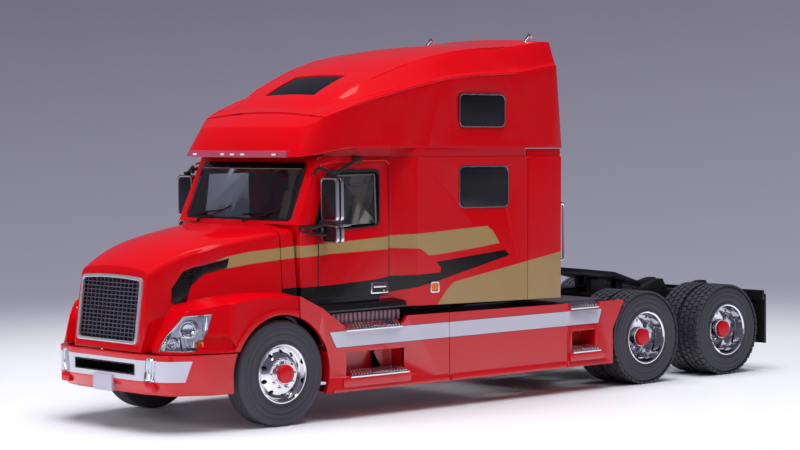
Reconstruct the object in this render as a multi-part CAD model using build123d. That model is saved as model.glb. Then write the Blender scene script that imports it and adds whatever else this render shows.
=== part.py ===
"""Collector model of a three-axle highway tractor with a high-roof sleeper, at 1:43.

The truck faces -Y, its left side is +X and up is +Z. Sizes are millimetres of the
model itself. Lengths along the truck are stations, measured back from the front axle,
and write() moves every piece so that the origin is the bottom centre of the whole.
"""
from build123d import *
from math import radians, sin
import os

# --- overall and running gear -------------------------------------------------
FRONT_END = -30.0        # station of the bumper's front face
HALF_WIDTH = 28.4        # body side over the sleeper

FRONT_AXLE = 0.0
DRIVE_AXLE_1 = 118.3
TANDEM_SPACING = 31.0
DRIVE_AXLE_2 = DRIVE_AXLE_1 + TANDEM_SPACING
DRIVE_AXLES = (DRIVE_AXLE_1, DRIVE_AXLE_2)
FLAP_BEHIND = 15.7       # mud flaps' rear face behind the last axle
REAR_END = DRIVE_AXLE_2 + FLAP_BEHIND
MID_STATION = (FRONT_END + REAR_END) / 2

TYRE_R = 12.0
TYRE_W = 6.6
BEAD_R = 6.75            # where the tyre meets the rim's flange
FRONT_WHEEL_X = 24.75    # middle of the front tyre
DUAL_OUTER_X = 24.9      # middle of the outer tyre of a twin
DUAL_PITCH = 7.6         # between the middles of a twin's tyres
DUAL_INNER_X = DUAL_OUTER_X - DUAL_PITCH
AXLE_Z = TYRE_R
PIN_R = 0.8
PIN_CLEAR = 0.06
CAP_R = 2.3              # red hub cap

# --- frame ---------------------------------------------------------------------
RAIL_OUT = 10.0
RAIL_WEB = 0.8
RAIL_FLANGE = 2.4
RAIL_TOP = 22.0
RAIL_BOTTOM = 16.0
RAIL_FRONT = -23.0
RAIL_REAR = REAR_END - 1.4
RAIL_IN = RAIL_OUT - RAIL_WEB

# --- cab -----------------------------------------------------------------------
CAB_RAKE = 1.0           # the cab sits nose up on its mounts, degrees
CAB_BACK = 87.4
SLEEPER_BACK = 75.8      # rear wall; extenders reach back to CAB_BACK
EXTENDER_GAP = 0.2
CAB_BOTTOM = 24.1
CAB_TOP = 59.2
CAB_WALL = 1.0
DOOR_X = 24.8            # half width over the doors
DOOR_END = 35.4
SLEEPER_START = 40.0
SCREEN_FOOT_Z = 43.6
GLASS_T = 0.7
GLASS_GAP = 0.05
ROOF_WALL = 1.0
CAP_LIP = 2.1            # recessed band under the roof cap's side
CAP_LIP_IN = 0.45

# --- nose ----------------------------------------------------------------------
HOOD_BACK = 8.6
HOOD_BOTTOM = 17.8
BUMPER_TOP = 17.5
BUMPER_BOTTOM = 8.4
ARCH_R = 13.3
FENDER_X = 28.0
FENDER_TOP = 30.0
SKIRT_START = 5.0        # where the hood's fender ends and the side skirt starts
SKIRT_REAR = 109.7
SKIRT_BOTTOM = 6.4
SKIRT_TOP = 22.8
SKIRT_X = 28.5
SKIRT_WALL = 1.0

# --- fifth wheel -----------------------------------------------------------------
FIFTH_Y = 118.0          # pivot of the coupling plate
FIFTH_PIVOT_Z = 25.0
KINGPIN_SLOT_R = 0.75
PIVOT_R = 0.7
PIVOT_CLEAR = 0.05

os.makedirs("parts", exist_ok=True)


def write(name, *solids):
    """Write one piece, moved from stations to the model's own origin."""
    moved = [Pos(0, -MID_STATION, 0) * s for s in solids]
    flat = [s for m in moved for s in m.solids()]
    export_step(flat[0] if len(flat) == 1 else Compound(flat), f"parts/{name}.step")


def both(shape):
    """A piece and its mirror image on the other side of the truck."""
    return [shape, shape.mirror(Plane.YZ)]


def box(x0, x1, y0, y1, z0, z1):
    """A block between two corners."""
    return Pos((x0 + x1) / 2, (y0 + y1) / 2, (z0 + z1) / 2) * Box(x1 - x0, y1 - y0, z1 - z0)


def rod_x(r, x0, x1, y, z):
    """A round bar along X."""
    return Pos((x0 + x1) / 2, y, z) * Rot(0, 90, 0) * Cylinder(r, x1 - x0)


def rod_y(r, y0, y1, x, z):
    """A round bar along Y."""
    return Pos(x, (y0 + y1) / 2, z) * Rot(90, 0, 0) * Cylinder(r, y1 - y0)


def side_face(*points):
    """A closed outline of (station, height) points in the plane x = 0."""
    return Plane.YZ * make_face(Polyline(*points, close=True))


def slab(x0, x1, *points):
    """A side outline given thickness from x0 to x1."""
    return Pos(x0, 0, 0) * extrude(side_face(*points), amount=x1 - x0)


def plan_face(z, *points):
    """A closed outline of (x, station) points at height z."""
    return Pos(0, 0, z) * make_face(Polyline(*points, close=True))


def mirrored(points):
    """Half an outline at x > 0, followed by its mirror image in reverse."""
    return list(points) + [(-x, y) for x, y in reversed(points) if x > 0]


def across(points):
    """Half an outline at x >= 0, run from its mirror image on the right to the left side."""
    return [(-x, y) for x, y in reversed(points) if x > 0] + list(points)


def rake(shape):
    """Tilt a level piece of the cab nose up about the rear foot of the cab."""
    return Pos(0, CAB_BACK, CAB_BOTTOM) * Rot(-CAB_RAKE, 0, 0) * Pos(0, -CAB_BACK, -CAB_BOTTOM) * shape


# --- wheels ----------------------------------------------------------------------
def spun(x, y, profile):
    """A solid of revolution about an axle: (radius, offset along +X) points."""
    face = Plane.XY * make_face(Polyline(*[(a, r) for r, a in profile], close=True))
    return Pos(x, y, AXLE_Z) * revolve(face, Axis.X)


def tyre(x, y, out):
    """A tyre with its bead on the rim, a bulging sidewall and a flat tread."""
    h = TYRE_W / 2
    half = [(BEAD_R, 0.86 * h), (8.6, h), (10.6, 0.97 * h), (11.6, 0.88 * h), (TYRE_R, 0.72 * h)]
    ring = half + [(r, -a) for r, a in reversed(half)]
    return spun(x, y, [(r, a * out) for r, a in ring])


def front_rim(x, y, out):
    """A convex disc with ten hand holes in a drop-centre rim."""
    h = TYRE_W / 2
    profile = [
        (BEAD_R, 0.84 * h), (BEAD_R, 0.98 * h), (6.3, 0.98 * h), (5.9, 0.6 * h), (5.3, 0.45 * h),
        (3.6, 1.1 * h), (PIN_R, 1.1 * h), (PIN_R, 0.1 * h), (3.4, 0.1 * h), (5.0, -0.1 * h),
        (6.1, -0.84 * h), (BEAD_R, -0.84 * h),
    ]
    rim = spun(x, y, [(r, a * out) for r, a in profile])
    for k in range(10):
        hole = Pos(x, y, AXLE_Z) * Rot(36 * k, 0, 0) * Pos(0, 4.7, 0) * Rot(0, 90, 0) * Cylinder(0.55, 8)
        rim -= hole
    return rim


def drive_rim(y, out):
    """Two rims of a twin on one hub, the outer one a deep dish."""
    h = TYRE_W / 2
    o = DUAL_OUTER_X
    i = DUAL_INNER_X
    disc = (o + i) / 2
    profile = [
        (BEAD_R, o + 0.84 * h), (BEAD_R, o + 0.98 * h), (6.3, o + 0.98 * h), (5.9, disc + 1.0),
        (2.6, disc + 1.0), (2.4, o + 1.0), (PIN_R, o + 1.0), (PIN_R, i - 0.9 * h), (5.0, i - 0.9 * h),
        (5.0, disc - 1.0), (6.1, i - 0.84 * h), (BEAD_R, i - 0.84 * h),
    ]
    return spun(0, y, [(r, a * out) for r, a in profile])


def hub_cap(x, y, out, r, length):
    """A red domed hub cap."""
    profile = [(0, 0), (r, 0), (r, 0.55 * length), (0.8 * r, 0.85 * length), (0.4 * r, length), (0, length)]
    return spun(x, y, [(q, a * out) for q, a in profile])


def wheels():
    h = TYRE_W / 2
    for side, out in (("left", 1), ("right", -1)):
        write(f"front_tyre_{side}", tyre(out * FRONT_WHEEL_X, FRONT_AXLE, out))
        for n, y in enumerate(DRIVE_AXLES, 1):
            pair = [tyre(out * x, y, out) for x in (DUAL_OUTER_X, DUAL_INNER_X)]
            write(f"drive_tyres_{n}_{side}", *pair)
    write("front_rims", *[front_rim(s * FRONT_WHEEL_X, FRONT_AXLE, s) for s in (1, -1)])
    face = FRONT_WHEEL_X + 1.1 * h
    write("front_hub_caps", *[hub_cap(s * face, FRONT_AXLE, s, CAP_R, 1.6) for s in (1, -1)])
    write("front_axle_pin", rod_x(PIN_R, -face, face, FRONT_AXLE, AXLE_Z))
    face = DUAL_OUTER_X + 1.0
    for n, y in enumerate(DRIVE_AXLES, 1):
        write(f"drive_rims_{n}", drive_rim(y, 1), drive_rim(y, -1))
        write(f"drive_hub_caps_{n}", *[hub_cap(s * face, y, s, CAP_R + 0.1, 1.6) for s in (1, -1)])
        write(f"drive_axle_pin_{n}", rod_x(PIN_R, -face, face, y, AXLE_Z))


# --- chassis -----------------------------------------------------------------------
BEAM_TOP = 9.6
SPRING_TOP = 10.9
SPRING_X = 9.0
KNUCKLE_X = 20.9
HOUSING_R = 1.9
HOUSING_END = 13.4
ARM_BOTTOM = 8.8
ARM_T = 1.3
DIFF_R = 4.4
NOSE_LEN = 7.6
SHAFT_R = 1.0
ENGINE_BACK = 38.0
GEARBOX_BACK = 60.0
DECK_T = 0.8


def rail():
    """One channel rail, its web outside and its flanges turned in."""
    web = box(RAIL_IN, RAIL_OUT, RAIL_FRONT, RAIL_REAR, RAIL_BOTTOM, RAIL_TOP)
    inner = RAIL_OUT - RAIL_FLANGE
    top = box(inner, RAIL_OUT, RAIL_FRONT, RAIL_REAR, RAIL_TOP - RAIL_WEB, RAIL_TOP)
    low = box(inner, RAIL_OUT, RAIL_FRONT, RAIL_REAR, RAIL_BOTTOM, RAIL_BOTTOM + RAIL_WEB)
    return web + top + low


def chassis():
    write("frame_rails", *both(rail()))
    cross = [box(-RAIL_IN, RAIL_IN, y - 1, y + 1, 17.2, 20.8) for y in (-21.5, 66.0, 98.0, 134.0, 162.0)]
    for y in (24.0, 54.0, 86.0):
        cross += both(box(RAIL_OUT, SKIRT_X - SKIRT_WALL, y - 1, y + 1, 17.6, 19.6))
    write("crossmembers", *cross)
    write("engine_and_gearbox", engine())
    write("front_axle_beam", front_beam())
    write("drive_axle_housings", *[housing(y) for y in DRIVE_AXLES])
    write("suspension", *suspension())
    gap = 0.1
    shafts = [
        rod_y(SHAFT_R, GEARBOX_BACK + gap, DRIVE_AXLE_1 - NOSE_LEN - gap, 0, AXLE_Z),
        rod_y(SHAFT_R, DRIVE_AXLE_1 + DIFF_R + gap, DRIVE_AXLE_2 - NOSE_LEN - gap, 0, AXLE_Z),
    ]
    write("propeller_shafts", *shafts)
    write("deck_plate", box(-25.4, 25.4, 89.0, 105.0, RAIL_TOP, RAIL_TOP + DECK_T))


def engine():
    """The engine with its sump behind the axle, and the gearbox, as one moulding."""
    block = slab(
        -6.5, 6.5, (-19, 14.5), (-17, 30), (6, 31), (6, 23.4), (ENGINE_BACK, 22), (ENGINE_BACK, 13),
        (32, 8.6), (8, 8.2), (5, 13.6),
    )
    bell = Pos(0, ENGINE_BACK + 3, 15.5) * Rot(90, 0, 0) * Cylinder(5.4, 6)
    box_rear = rod_y(4.2, ENGINE_BACK + 6, GEARBOX_BACK, 0, 14.6)
    mounts = [box(-RAIL_IN, RAIL_IN, y - 2, y + 2, 17.5, 20.0) for y in (-12.0, 30.0)]
    return block + bell + box_rear + mounts[0] + mounts[1]


def front_beam():
    """The dropped beam, its knuckles bored for the axle pin, and the track rod."""
    outline = [
        (19, 10.2), (19, 13.4), (16.5, 13.4), (13.5, BEAM_TOP), (0, BEAM_TOP),
    ]
    lower = [(0, 7.4), (12.5, 7.4), (16.0, 9.6)]
    half = make_face(Polyline(*(outline + lower), close=True))
    profile = Plane.XZ * (half + mirror(half, about=Plane.YZ))
    beam = extrude(profile, amount=1.3, both=True)
    rod = rod_x(0.5, -18.2, 18.2, 4.4, 8.6)
    for s in (1, -1):
        beam += rod_x(HOUSING_R, min(s * 16.4, s * KNUCKLE_X), max(s * 16.4, s * KNUCKLE_X), 0, AXLE_Z)
        beam += box(s * 17.6 - 0.6, s * 17.6 + 0.6, 0, 4.9, 8.1, 11.4)
    beam += rod
    return beam - rod_x(PIN_R + PIN_CLEAR, -30, 30, 0, AXLE_Z)


def housing(y):
    """A drive axle: tube, differential bowl and nose, bored for the axle pin."""
    tube = rod_x(HOUSING_R, -HOUSING_END, HOUSING_END, y, AXLE_Z)
    bowl = Pos(0, y, AXLE_Z) * Sphere(DIFF_R)
    bowl &= box(-3.4, 3.4, y - 9, y + 9, 0, 30)
    nose = rod_y(2.1, y - NOSE_LEN, y, 0, AXLE_Z)
    return tube + bowl + nose - rod_x(PIN_R + PIN_CLEAR, -30, 30, y, AXLE_Z)


def suspension():
    """Front leaf springs, and trailing arms with air springs at the drive axles."""
    pieces = []
    arc_low = ThreePointArc((-17, 14.6), (0, BEAM_TOP), (17, 14.6))
    arc_top = ThreePointArc((17, RAIL_BOTTOM), (0, SPRING_TOP), (-17, RAIL_BOTTOM))
    ends = [Line((17, 14.6), (17, RAIL_BOTTOM)), Line((-17, RAIL_BOTTOM), (-17, 14.6))]
    leaf = extrude(Plane.YZ * make_face([arc_low, ends[0], arc_top, ends[1]]), amount=2.2)
    leaf = Pos(SPRING_X - 1.1, 0, 0) * leaf
    for y in (-17.0, 17.0):
        leaf += box(SPRING_X - 1.1, SPRING_X + 1.1, y - 1.3, y + 1.3, 14.2, RAIL_BOTTOM)
    pieces += both(leaf)
    top = ARM_BOTTOM + ARM_T
    for y in DRIVE_AXLES:
        arm = box(7.7, 10.0, y - 13.5, y + 11, ARM_BOTTOM, top)
        arm += box(7.7, 10.0, y - 13.5, y - 10.5, ARM_BOTTOM, RAIL_BOTTOM)
        bag = Pos(8.85, y + 8.2, (top + RAIL_BOTTOM) / 2) * Cylinder(2.3, RAIL_BOTTOM - top)
        pieces += both(arm + bag)
    return pieces


# --- side skirts --------------------------------------------------------------------
FRONT_STEP = (12.5, 29.5, 10.0, 16.0)     # station from, to, height from, to
REAR_STEP = (91.0, 99.2, 10.0, 15.4)
UPPER_STEP = (18.3, 35.6)
UPPER_REAR_STEP = (90.4, 101.0)
TREAD_T = 0.6
TREAD_PROUD = 0.5
SKIRT_JOINTS = (50.0, 89.4)
GROOVE = 0.25


def skirt():
    """A deep side panel from the front arch to the drive wheels, with its steps let in."""
    outline = [
        (SKIRT_START, SKIRT_BOTTOM), (SKIRT_START, 29.2), (11.5, 26.0), (18.3, 20.6 + TREAD_T),
        (UPPER_STEP[1], 20.6 + TREAD_T), (37.0, SKIRT_TOP), (104, 22.3), (SKIRT_REAR, 22.3), (105.5, 15.0),
        (105.5, SKIRT_BOTTOM),
    ]
    panel = slab(SKIRT_X - SKIRT_WALL, SKIRT_X, *outline)
    floor = box(20.0, SKIRT_X - SKIRT_WALL, 14.5, 105.5, SKIRT_BOTTOM, SKIRT_BOTTOM + SKIRT_WALL)
    shelf = box(20.0, SKIRT_X - SKIRT_WALL, 18.3, 105.5, 20.6 + TREAD_T - SKIRT_WALL, 20.6 + TREAD_T)
    body = panel + floor + shelf
    arch = rod_x(ARCH_R, 0, 40, FRONT_AXLE, AXLE_Z)
    body -= arch
    for y0, y1, z0, z1 in (FRONT_STEP, REAR_STEP):
        pocket = box(SKIRT_X - 5, SKIRT_X, y0, y1, z0, z1)
        liner = box(SKIRT_X - 5 - SKIRT_WALL, SKIRT_X, y0 - SKIRT_WALL, y1 + SKIRT_WALL, z0 - SKIRT_WALL,
                    z1 + SKIRT_WALL)
        body += liner - arch
        body -= pocket
    body -= box(SKIRT_X - 4, SKIRT_X, *UPPER_REAR_STEP, 20.6 + TREAD_T, 30)
    for y in SKIRT_JOINTS:
        body -= box(SKIRT_X - GROOVE, SKIRT_X + 1, y - GROOVE / 2, y + GROOVE / 2, 0, 40)
    return body


def step_treads():
    """Chrome treads on the four steps of each side."""
    treads = []
    for y0, y1, z0, _ in (FRONT_STEP, REAR_STEP):
        treads.append(box(SKIRT_X - 4.6, SKIRT_X + TREAD_PROUD, y0 + 0.3, y1 - 0.3, z0, z0 + TREAD_T))
    top = 20.6 + TREAD_T
    for y0, y1 in (UPPER_STEP, UPPER_REAR_STEP):
        treads.append(box(SKIRT_X - 2.6, SKIRT_X + TREAD_PROUD, y0 + 0.4, y1 - 0.4, top, top + TREAD_T))
    return [t for tread in treads for t in both(tread)]


def side_skirts():
    left = skirt()
    write("side_skirt_left", left)
    write("side_skirt_right", left.mirror(Plane.YZ))
    write("step_treads", *step_treads())


# --- hood, bumper and lamps ------------------------------------------------------------
# station, half width at the shoulder, shoulder height, centre height, half width at the foot
HOOD_SECTIONS = (
    (-29.4, 12.5, 33.6, 34.0, 13.2),
    (-21.8, 14.4, 37.7, 39.0, 15.1),
    (-14.2, 16.7, 40.3, 42.0, 17.4),
    (-6.6, 18.5, 41.9, 43.8, 19.3),
    (1.0, 20.1, 43.1, 45.0, 21.0),
    (HOOD_BACK, 21.5, 43.9, 45.6, 22.8),
)
SHOULDER_R = 1.8
# the nose in plan: half width, station; the bumper, the fender's foot and the fender's crest
BUMPER_PLAN = ((13.0, -29.2), (21.4, -27.6), (26.6, -20.0), (FENDER_X, -10.0))
BUMPER_CORNER = 5.0
NOSE_PLAN = ((0, -29.0), (13.0, -28.6), (18.5, -27.8), (22.4, -25.4), (25.6, -20.6), (27.3, -15.6), (FENDER_X, -10.0))
CREST_PLAN = ((0, -27.0), (12.6, -26.6), (17.4, -25.2), (21.4, -22.0), (24.6, -17.8), (26.8, -13.0),
              (FENDER_X - 0.2, -8.0))
FENDER_CREST = (
    (-31.0, 22.2), (-27.0, 25.6), (-24.8, 26.7), (-21.0, 27.6), (-17.8, 28.2), (-12.1, 29.3),
    (-3.6, FENDER_TOP), (SKIRT_START, FENDER_TOP - 0.2),
)
CREST_X = 21.0           # where the crest is as high as FENDER_CREST says
CREST_FALL = 6.0         # its fall towards the side, degrees
VALLEY = ((12.0, 17.0), (17.0, 17.0), (17.9, 20.0), (19.6, 23.6), (22.4, 27.0), (24.4, 28.6), (24.4, 45.0), (12.0, 45.0))
VALLEY_FLOOR = ((-40.0, 17.0), (-27.0, 17.0), (-21.0, 28.4), (-21.0, 45.0), (-40.0, 45.0))
FENDER_RECESS = ((-24.0, 18.5), (-24.0, 21.4), (-14.2, 21.4), (-12.4, 18.5))
RECESS_DEEP = 0.6
ARCH_LIP = 1.3           # width of the raised edge round the wheel arch
LIP_PROUD = 0.3
HOOD_SEAM = 5.0          # station of the seam between hood and cowl
HOOD_WALL = 1.6
BAY_FRONT = -20.5        # where the space beside the rails starts, behind the valleys
GRILLE_LEAN = 7.5        # degrees back from upright
GRILLE_FOOT = (-28.2, 19.4)
GRILLE_HALF = 12.1
GRILLE_TOP = 34.4
GRILLE_RIM = 0.9
GRILLE_PROUD = 0.6
GRILLE_DEEP = 1.2
GRILLE_COLUMNS = 14
GRILLE_ROWS = 16
LAMP_OUTLINE = ((-6.2, 18.4), (-4.4, 21.6), (-0.6, 26.0), (5.7, 26.4), (4.8, 22.6), (2.2, 18.2))
LAMP_DEEP = 29.4         # inner face of the lamp, along the corner's diagonal
VENT_OUTLINE = ((-21.3, 27.4), (-21.0, 31.7), (-18.3, 35.4), (-16.0, 36.3), (-7.4, 38.0), (-8.0, 35.8),
                (-13.4, 34.7), (-16.5, 32.2), (-18.0, 28.0))
VENT_DEEP = 0.8
SEAT_GAP = 0.05          # between a lamp or grille and its pocket


def hood_section(y, shoulder, z_shoulder, z_centre, foot, wall=0.0):
    """The hood's cross-section at one station, its shoulders rounded."""
    w = wall
    top = ThreePointArc((-shoulder + w, z_shoulder - w), (0, z_centre - w), (shoulder - w, z_shoulder - w))
    sides = Polyline((shoulder - w, z_shoulder - w), (foot - w, 27.0), (foot - w, HOOD_BOTTOM),
                     (-foot + w, HOOD_BOTTOM), (-foot + w, 27.0), (-shoulder + w, z_shoulder - w))
    face = make_face([top, *sides.edges()])
    shoulders = [v for v in face.vertices() if abs(v.Y - z_shoulder + w) < 0.01]
    face = fillet(shoulders, max(SHOULDER_R - w, 0.2))
    return Plane(origin=(0, y, 0), x_dir=(1, 0, 0), z_dir=(0, -1, 0)) * face


def hood_core(wall=0.0):
    return loft([hood_section(*s, wall=wall) for s in HOOD_SECTIONS])


def nose_face(z, plan, back, inset=0.0):
    """The nose in plan at height z: a smooth front between two straight sides."""
    x, y = plan[-1]
    front = Spline(*across(plan), tangents=((0, -1), (0, 1)))
    rest = Polyline((x, y), (x, back), (-x, back), (-x, y))
    face = make_face([front, *rest.edges()])
    if inset:
        face = offset(face, amount=-inset)
    return Pos(0, 0, z) * face


def fender_block(inset=0.0):
    """Both fenders up to an open height, upright at the foot and drawn in towards the crest."""
    low = nose_face(HOOD_BOTTOM, NOSE_PLAN, SKIRT_START + inset, inset)
    high = nose_face(FENDER_TOP + 1, CREST_PLAN, SKIRT_START + inset, inset)
    return loft([low, high], ruled=True)


def fenders():
    """The two fenders with their crests, the valleys beside the hood and the arch lips."""
    crest = Spline(*FENDER_CREST)
    under = Polyline(FENDER_CREST[-1], (SKIRT_START, HOOD_BOTTOM), (FENDER_CREST[0][0], HOOD_BOTTOM), FENDER_CREST[0])
    under = make_face([crest, *under.edges()])
    cap = Pos(8, 0, 0) * extrude(Plane.YZ * under, amount=24)
    cap = Pos(CREST_X, 0, FENDER_TOP) * Rot(0, CREST_FALL, 0) * Pos(-CREST_X, 0, -FENDER_TOP) * cap
    wing = fender_block() & cap
    valley = Pos(0, -15, 0) * extrude(Plane.XZ * make_face(Polyline(*VALLEY, close=True)), amount=20)
    wing -= valley & slab(5, 40, *VALLEY_FLOOR)
    wing -= (fender_block() - fender_block(RECESS_DEEP)) & slab(20, 40, *FENDER_RECESS)
    lip = rod_x(ARCH_R + ARCH_LIP, FENDER_X - 1.5, FENDER_X + LIP_PROUD, FRONT_AXLE, AXLE_Z)
    wing += lip & box(20, 40, -20, SKIRT_START, HOOD_BOTTOM, 40)
    wing &= box(8, 40, -40, SKIRT_START, HOOD_BOTTOM, 60)
    return wing + wing.mirror(Plane.YZ)


def leaned(shape):
    """Lean a grille piece, drawn upright in the plane y = 0, back on to the hood's face."""
    y, z = GRILLE_FOOT
    return Pos(0, y, z) * Rot(-GRILLE_LEAN, 0, 0) * Pos(0, 0, -z) * shape


def grille_face(shrink=0.0):
    z0 = GRILLE_FOOT[1]
    ring = [(-GRILLE_HALF, z0), (GRILLE_HALF, z0), (GRILLE_HALF, GRILLE_TOP), (-GRILLE_HALF, GRILLE_TOP)]
    face = fillet(make_face(Polyline(*ring, close=True)).vertices(), 1.4)
    return Plane.XZ * (offset(face, amount=-shrink) if shrink else face)


def lamp_block(side, shrink=0.0):
    """The headlamp's outline, extruded along the diagonal of the nose's corner."""
    view = Plane(origin=(0, 0, 0), x_dir=(1, 1, 0), z_dir=(1, -1, 0))
    face = make_face(Polyline(*LAMP_OUTLINE, close=True))
    if shrink:
        face = offset(face, amount=-shrink)
    block = view * Pos(0, 0, LAMP_DEEP) * extrude(face, amount=12)
    return block if side > 0 else block.mirror(Plane.YZ)


def hood():
    core = hood_core()
    wings = fenders()
    for s in (1, -1):
        wings -= lamp_block(s)
    body = core + wings
    for s in (1, -1):
        body -= rod_x(ARCH_R, min(s * 19.5, s * 40), max(s * 19.5, s * 40), FRONT_AXLE, AXLE_Z)
    bay = hood_core(HOOD_WALL) & box(-40, 40, -24.0, HOOD_BACK, 0, 60)
    body -= bay
    for s in (1, -1):
        body -= box(s * 14.0 - 3.5, s * 14.0 + 3.5, BAY_FRONT, HOOD_BACK, 0, 27)
    body -= leaned(box(-40, 40, -6, 0, 10, 60))
    body -= leaned(extrude(grille_face(GRILLE_RIM / 2), amount=-GRILLE_DEEP))
    body -= rake(Pos(0, -0.15, 0) * cab_body())
    skin = core - hood_core(VENT_DEEP)
    vent = skin & slab(5, 40, *VENT_OUTLINE)
    vents = both(vent)
    for v in vents:
        body -= v
    body -= skin & box(-40, 40, HOOD_SEAM, HOOD_SEAM + GROOVE, SKIRT_TOP, 60)
    write("hood", body)
    write("hood_vents", *vents)


def grille():
    rim = grille_face()
    inner = grille_face(GRILLE_RIM)
    write("grille_surround", leaned(extrude(rim - inner, amount=GRILLE_PROUD)))
    plate = extrude(grille_face(GRILLE_RIM / 2 + SEAT_GAP), amount=-0.4)
    plate = Pos(0, GRILLE_DEEP - 0.4 - SEAT_GAP, 0) * plate
    x0 = GRILLE_HALF - GRILLE_RIM
    z0 = GRILLE_FOOT[1] + GRILLE_RIM
    height = GRILLE_TOP - GRILLE_FOOT[1] - 2 * GRILLE_RIM
    back = GRILLE_DEEP - 0.4 - SEAT_GAP
    bars = plate
    for k in range(GRILLE_COLUMNS):
        x = -x0 + 2 * x0 * (k + 0.5) / GRILLE_COLUMNS
        bars += box(x - 0.17, x + 0.17, 0.0, back, z0, z0 + height)
    for k in range(GRILLE_ROWS):
        z = z0 + height * (k + 0.5) / GRILLE_ROWS
        bars += box(-x0, x0, 0.15, back, z - 0.17, z + 0.17)
    write("grille_mesh", leaned(bars))


CHIN_Z = 11.2
CHIN_TAPER = 0.985
CHIN_BACK = 1.6
FOG_OUTLINE = ((15.0, 11.5), (15.9, 16.8), (18.7, 16.8), (18.3, 11.5))
FOG_DEEP = 1.0
SLOT = (12.0, 12.9, 15.2)   # half width, height from, to
PLATE_HALF = 3.8


def bumper_face(z, taper=1.0, back=0.0, inset=0.0):
    """The bumper in plan: a straight front, rounded corners and sides that run back."""
    half = [(x * taper, y + back) for x, y in BUMPER_PLAN]
    ring = across(half)
    face = make_face(Polyline(*ring, (half[-1][0], 0), (-half[-1][0], 0), close=True))
    bends = [v for v in face.vertices() if abs(v.X) > 15 and v.Y < half[-1][1] - 1]
    face = fillet(bends, BUMPER_CORNER)
    if inset:
        face = offset(face, amount=-inset)
    return Pos(0, 0, z) * face


def bumper_solid(inset=0.0):
    """The bumper as a solid, with its chin drawn back, or the space behind its wall."""
    if inset:
        return extrude(bumper_face(0, inset=inset), amount=BUMPER_TOP + 1)
    face = bumper_face(CHIN_Z)
    low = bumper_face(BUMPER_BOTTOM, CHIN_TAPER, CHIN_BACK)
    return extrude(face, amount=BUMPER_TOP - CHIN_Z) + loft([low, face], ruled=True)


def bumper():
    block = bumper_solid()
    body = block - bumper_solid(1.7)
    body -= box(-40, 40, -5.5, 0, 0, 40)
    body -= rod_x(ARCH_R, -40, 40, FRONT_AXLE, AXLE_Z)
    half, z0, z1 = SLOT
    body -= box(-half, half, -40, -25, z0, z1)
    prism = Pos(0, -20.0, 0) * extrude(Plane.XZ * make_face(Polyline(*FOG_OUTLINE, close=True)), amount=12)
    fog = (block - bumper_solid(FOG_DEEP)) & prism
    fogs = both(fog)
    for f in fogs:
        body -= f
    write("bumper", body)
    write("fog_lamps", *fogs)
    write("number_plate", box(-PLATE_HALF, PLATE_HALF, FRONT_END, BUMPER_PLAN[0][1], 8.6, 12.2))


def headlamps():
    wings = fenders()
    lamps = [(wings & lamp_block(s, SEAT_GAP)) for s in (1, -1)]
    write("headlamps", *lamps)


def nose():
    hood()
    grille()
    bumper()
    headlamps()


# --- cab ------------------------------------------------------------------------------
def cab_plan(z, front_corner_y, front_mid_y, corner_x, door_x, wall=0.0):
    """The cab's outline at one height: a bowed front, doors, a flare and the sleeper."""
    back = SLEEPER_BACK
    w = wall
    front = ThreePointArc((-corner_x + w, front_corner_y + w), (0, front_mid_y + w), (corner_x - w, front_corner_y + w))
    side = [(corner_x - w, front_corner_y + w), (door_x - w, front_corner_y + 4.5 + w), (door_x - w, DOOR_END),
            (HALF_WIDTH - w, SLEEPER_START), (HALF_WIDTH - w, back - w)]
    sides = Polyline(*(side + [(-x, y) for x, y in reversed(side)]))
    return Pos(0, 0, z) * make_face([front, *sides.edges()])


def cab_body(wall=0.0):
    """The cab and sleeper up to the roof cap, as a solid."""
    low_z = CAB_BOTTOM - (1 if wall else 0)
    top_z = CAB_TOP + (1 if wall else 0)
    lower = extrude(cab_plan(low_z, 9.0, 8.2, 23.4, DOOR_X, wall), amount=SCREEN_FOOT_Z - low_z)
    foot = cab_plan(SCREEN_FOOT_Z, 8.2, 6.6, 23.4, DOOR_X, wall)
    head = cab_plan(top_z, 14.6, 12.8, 22.6, DOOR_X - 0.5, wall)
    upper = loft([foot, head], ruled=True)
    return lower + upper


# --- windows ----------------------------------------------------------------------------
DOOR_WINDOW = ((11.6, 41.9), (31.2, 43.2), (31.2, 56.0), (16.4, 56.0))
SCREEN_FOOT_X = 20.8
SCREEN_HEAD_X = 20.1
SCREEN_CUT_FOOT = SCREEN_FOOT_Z + 0.8
SCREEN_CUT_HEAD = 58.0
LOWER_WINDOW = (53.2, 69.4, 46.9, 57.0)       # station from, to, height from, to
UPPER_WINDOW = (53.2, 68.2, 66.3, 74.3)
SKYLIGHT = (23.9, 33.6, 9.5)                  # station from, to, half width
WINDOW_CORNER = 1.4


def rounded_slab(x0, x1, points, corner, shrink=0.0):
    """A side outline with rounded corners, given thickness from x0 to x1."""
    face = make_face(Polyline(*points, close=True))
    face = fillet(face.vertices(), corner)
    if shrink:
        face = offset(face, amount=-shrink)
    return Pos(x0, 0, 0) * extrude(Plane.YZ * face, amount=x1 - x0)


def corners(y0, y1, z0, z1):
    return [(y0, z0), (y1, z0), (y1, z1), (y0, z1)]


def screen_cut(shrink=0.0):
    """The windscreen's opening, seen from the front, as a block along Y."""
    half = [(SCREEN_FOOT_X, SCREEN_CUT_FOOT), (SCREEN_HEAD_X, SCREEN_CUT_HEAD)]
    points = half + [(-x, z) for x, z in reversed(half)]
    face = fillet(make_face(Polyline(*points, close=True)).vertices(), WINDOW_CORNER)
    if shrink:
        face = offset(face, amount=-shrink)
    return Pos(0, 18.0, 0) * extrude(Plane.XZ * face, amount=20.0)


def skylight_cut(shrink=0.0):
    y0, y1, x = SKYLIGHT
    return box(-x + shrink, x - shrink, y0 + shrink, y1 - shrink, 66, 84)


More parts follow.
